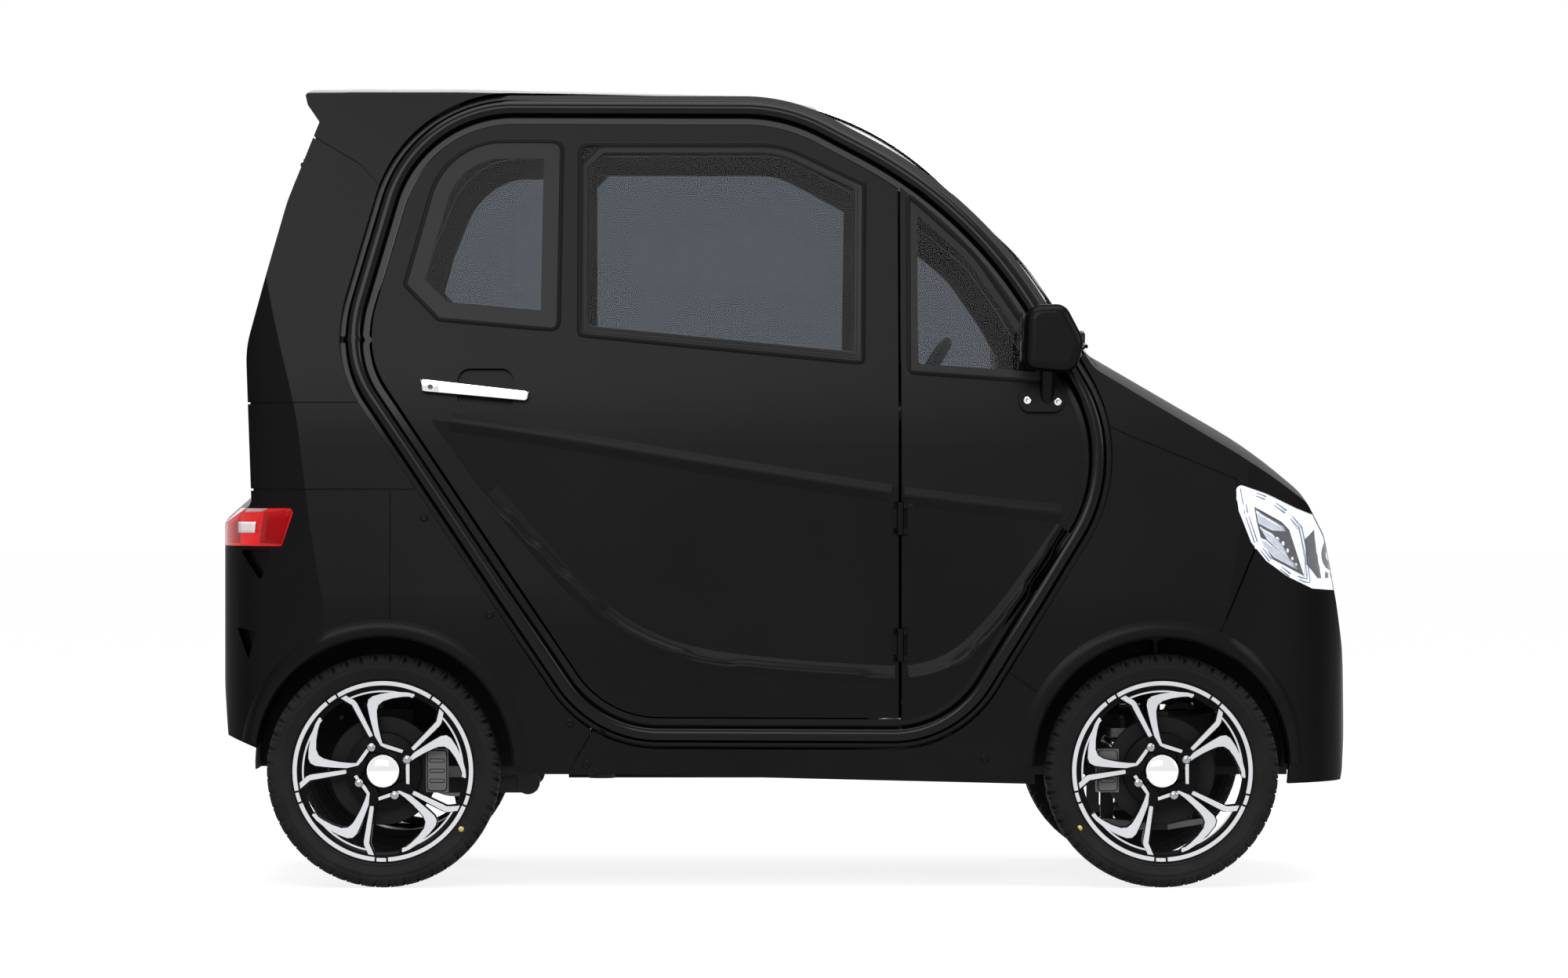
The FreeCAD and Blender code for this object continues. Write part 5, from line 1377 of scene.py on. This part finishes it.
def sew_channels(pad, side_channels, cross_channels, upright):
    """Presses sewn channels into the cover, along and across the sitting face."""
    normals = [vertex.normal.copy() for vertex in pad.data.vertices]
    for vertex, normal in zip(pad.data.vertices, normals):
        along = vertex.co.z if upright else vertex.co.x
        depth = 0.0
        for place in side_channels:
            away = abs(abs(vertex.co.y) - place * 0.72) / CHANNEL_HALF
            depth = max(depth, math.exp(-away * away))
        if abs(vertex.co.y) < side_channels[0] * 0.72:
            for place in cross_channels:
                away = abs(along - place) / CHANNEL_HALF
                depth = max(depth, math.exp(-away * away))
        vertex.co -= normal * depth * CHANNEL_DEPTH
    pad.data.update()


def add_seats():
    for name, outline, half_width, node, side_channels, cross_channels in PADS:
        mesh = prism_mesh(name, shrunk(outline, SEAT_INSET), half_width - SEAT_INSET * MM)
        pad = bpy.data.objects.new(name, mesh)
        bpy.context.scene.collection.objects.link(pad)
        remesh = pad.modifiers.new("even", "REMESH")
        remesh.mode = "VOXEL"
        remesh.voxel_size = SEAT_VOXEL
        take_modifiers(pad)
        swell(pad)
        finer = pad.modifiers.new("finer", "SUBSURF")
        finer.levels = 1
        finer.render_levels = 1
        take_modifiers(pad)
        sew_channels(pad, side_channels[:1], cross_channels, name.endswith("back"))
        pad.data.materials.clear()
        pad.data.materials.append(seat_vinyl)
        pad.data.shade_smooth()
        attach(pad, "body")
        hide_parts(node)


def add_seat_base():
    """The moulded box under the front cushion, with its drawn-in foot and a step near its top."""
    half_width = 0.260
    levels = [(272, 0, 0.0), (276, 0, 0.0), (290, 6, 0.004), (452, 6, 0.004), (456, 0, 0.0), (476, 0, 0.0)]
    corners = []
    for z, inset, side_inset in levels:
        outline = rounded_box(0.180 - inset * MM, half_width - side_inset, 0.03)
        corners += [(-0.030 + u, v, z * MM) for u, v in outline]
    count = len(corners) // len(levels)
    faces = []
    for level in range(len(levels) - 1):
        for index in range(count):
            turn = (index + 1) % count
            faces.append((level * count + index, level * count + turn, (level + 1) * count + turn,
                          (level + 1) * count + index))
    faces.append(tuple(range(count)))
    faces.append(tuple(range((len(levels) - 1) * count, len(levels) * count)))
    base = new_piece("front_seat_base", corners, faces, soft_plastic, "body")
    tidy_normals(base)
    sharpen(base, 30)
    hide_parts("front_seat")


# Dashboard: display, meter, vents with their slats, and switches

DASH_FACE_X = 0.305


def facing_box(centre, half_y, half_z, depth, tilt, radius=0.006):
    """A rounded plate facing the driver, leaning back by the tilt."""
    outline = rounded_box(half_y, half_z, radius, 4)
    shape = plate(outline, 0.0, depth, 0.0015)
    lean = math.radians(tilt)
    back = Vector((-math.cos(lean), 0, math.sin(lean)))
    up = Vector((math.sin(lean), 0, math.cos(lean)))
    return [centre + Vector((0, -u, 0)) + up * v + back * w for u, v, w in shape[0]], shape[1]


def add_dashboard_details():
    tree = node_tree_of(["dashboard"])

    def on_dash(y, z):
        hit = tree.ray_cast(Vector((-0.3, y, z)), Vector((1, 0, 0)))
        return hit[0] if hit[0] is not None else Vector((DASH_FACE_X, y, z))

    for name, places, half_y, half_z, depth, tilt, material in (
            ("dash_display", [(-0.02, 0.905)], 0.105, 0.032, 0.010, 18, screen_black),
            ("dash_meter", [(0.2, 0.915)], 0.070, 0.030, 0.012, 18, screen_black),
            ("dash_vents", [(-0.40, 0.875), (-0.20, 0.875), (0.40, 0.875)], 0.045, 0.022, 0.008, 5, vent_black),
            ("dash_switches", [(-0.08 + 0.04 * step, 0.820) for step in range(5)], 0.016, 0.011, 0.006, -15, vent_black)):
        shapes = []
        for y, z in places:
            shapes.append(facing_box(on_dash(y, z) + Vector((0.002, 0, 0)), half_y, half_z, depth, tilt))
        corners, faces = gathered(shapes)
        piece = new_piece(name, corners, faces, material, "body")
        tidy_normals(piece)
        sharpen(piece, 30)
    slats = []
    for y in (-0.40, -0.20, 0.40):
        for step in range(4):
            z = 0.862 + 0.0088 * step
            point = on_dash(y, z) + Vector((-0.009, 0, 0))
            slats.append(facing_box(point, 0.040, 0.0018, 0.003, 25, 0.0012))
    corners, faces = gathered(slats)
    piece = new_piece("dash_vent_slats", corners, faces, satin_chrome, "body")
    tidy_normals(piece)


# Brake calipers: cast faces with three ribs each, over the plain blocks

CALIPERS = [
    ("front_left", FRONT_AXLE_X, 1, -0.106, "knuckle_left"), ("front_right", FRONT_AXLE_X, -1, -0.106, "knuckle_right"),
    ("rear_left", REAR_AXLE_X, 1, 0.106, "body"), ("rear_right", REAR_AXLE_X, -1, 0.106, "body"),
]
CALIPER_FACE = 0.018


def add_caliper_faces():
    for place, axle_x, side, u, body in CALIPERS:
        shapes = [plate([(u + a, b) for a, b in rounded_box(0.020, 0.041, 0.008, 4)], CALIPER_FACE - 0.001, CALIPER_FACE + 0.003, 0.002)]
        for v in (-0.020, 0.0, 0.020):
            shapes.append(plate([(u + a, v + b) for a, b in rounded_box(0.015, 0.004, 0.003, 3)], CALIPER_FACE + 0.002, CALIPER_FACE + 0.0055, 0.0015))
        corners, faces = gathered(shapes)
        if side > 0:
            corners = [(a, -b, c) for a, b, c in corners]
        world = [to_world(a, b, c, axle_x, side) for a, b, c in corners]
        piece = new_piece("caliper_face_" + place, world, faces, bare_casting, body)
        tidy_normals(piece)
        sharpen(piece, 30)


DISC_FACE = [
    (0.0765, 0.0106), (0.0765, 0.0116), (0.1065, 0.0116), (0.1068, 0.0112), (0.1068, 0.0106),
]


def add_disc_faces():
    # The disc faces take the near-black painted shade of the wheel's inside.
    shape = turned_profile(DISC_FACE, 72)
    for place, axle_x, side in WHEELS:
        corners = [to_world(u, v, w, axle_x, side) for u, v, w in shape[0]]
        piece = new_piece("disc_face_" + place, corners, shape[1], disc_painted_shade, "wheel_" + place)
        tidy_normals(piece)
        sharpen(piece, 30)


RIM_STEP = [
    (0.1672, 0.0545), (0.1662, 0.0515), (0.1610, 0.0506), (0.1600, 0.0500), (0.1592, 0.0485), (0.1588, 0.0450),
    (0.1600, 0.0430), (0.1672, 0.0400),
]


def add_rim_steps():
    shape = turned_profile(RIM_STEP, 96)
    for place, axle_x, side in WHEELS:
        corners = [to_world(u, v, w, axle_x, side) for u, v, w in shape[0]]
        piece = new_piece("rim_step_" + place, corners, shape[1], wheel_black, "wheel_" + place)
        tidy_normals(piece)
        sharpen(piece, 30)


add_camera()
add_studio()
add_floor()
add_door_rings()
add_window_rubbers()
add_scoop_ridges()
add_arch_lips()
add_shut_line_seals()
add_tyres()
add_paint_dots()
add_wheel_faces()
add_disc_faces()
add_rim_steps()
add_caliper_faces()
add_headlamps()
add_headlamp_fronts()
add_tail_lamps()
add_screws()
add_handle_details()
add_mirror_details()
add_wiper_blade()
add_roof_knob()
add_hatch_fittings()
add_seats()
add_seat_base()
add_dashboard_details()
scene = bpy.context.scene
scene.view_settings.view_transform = "Standard"
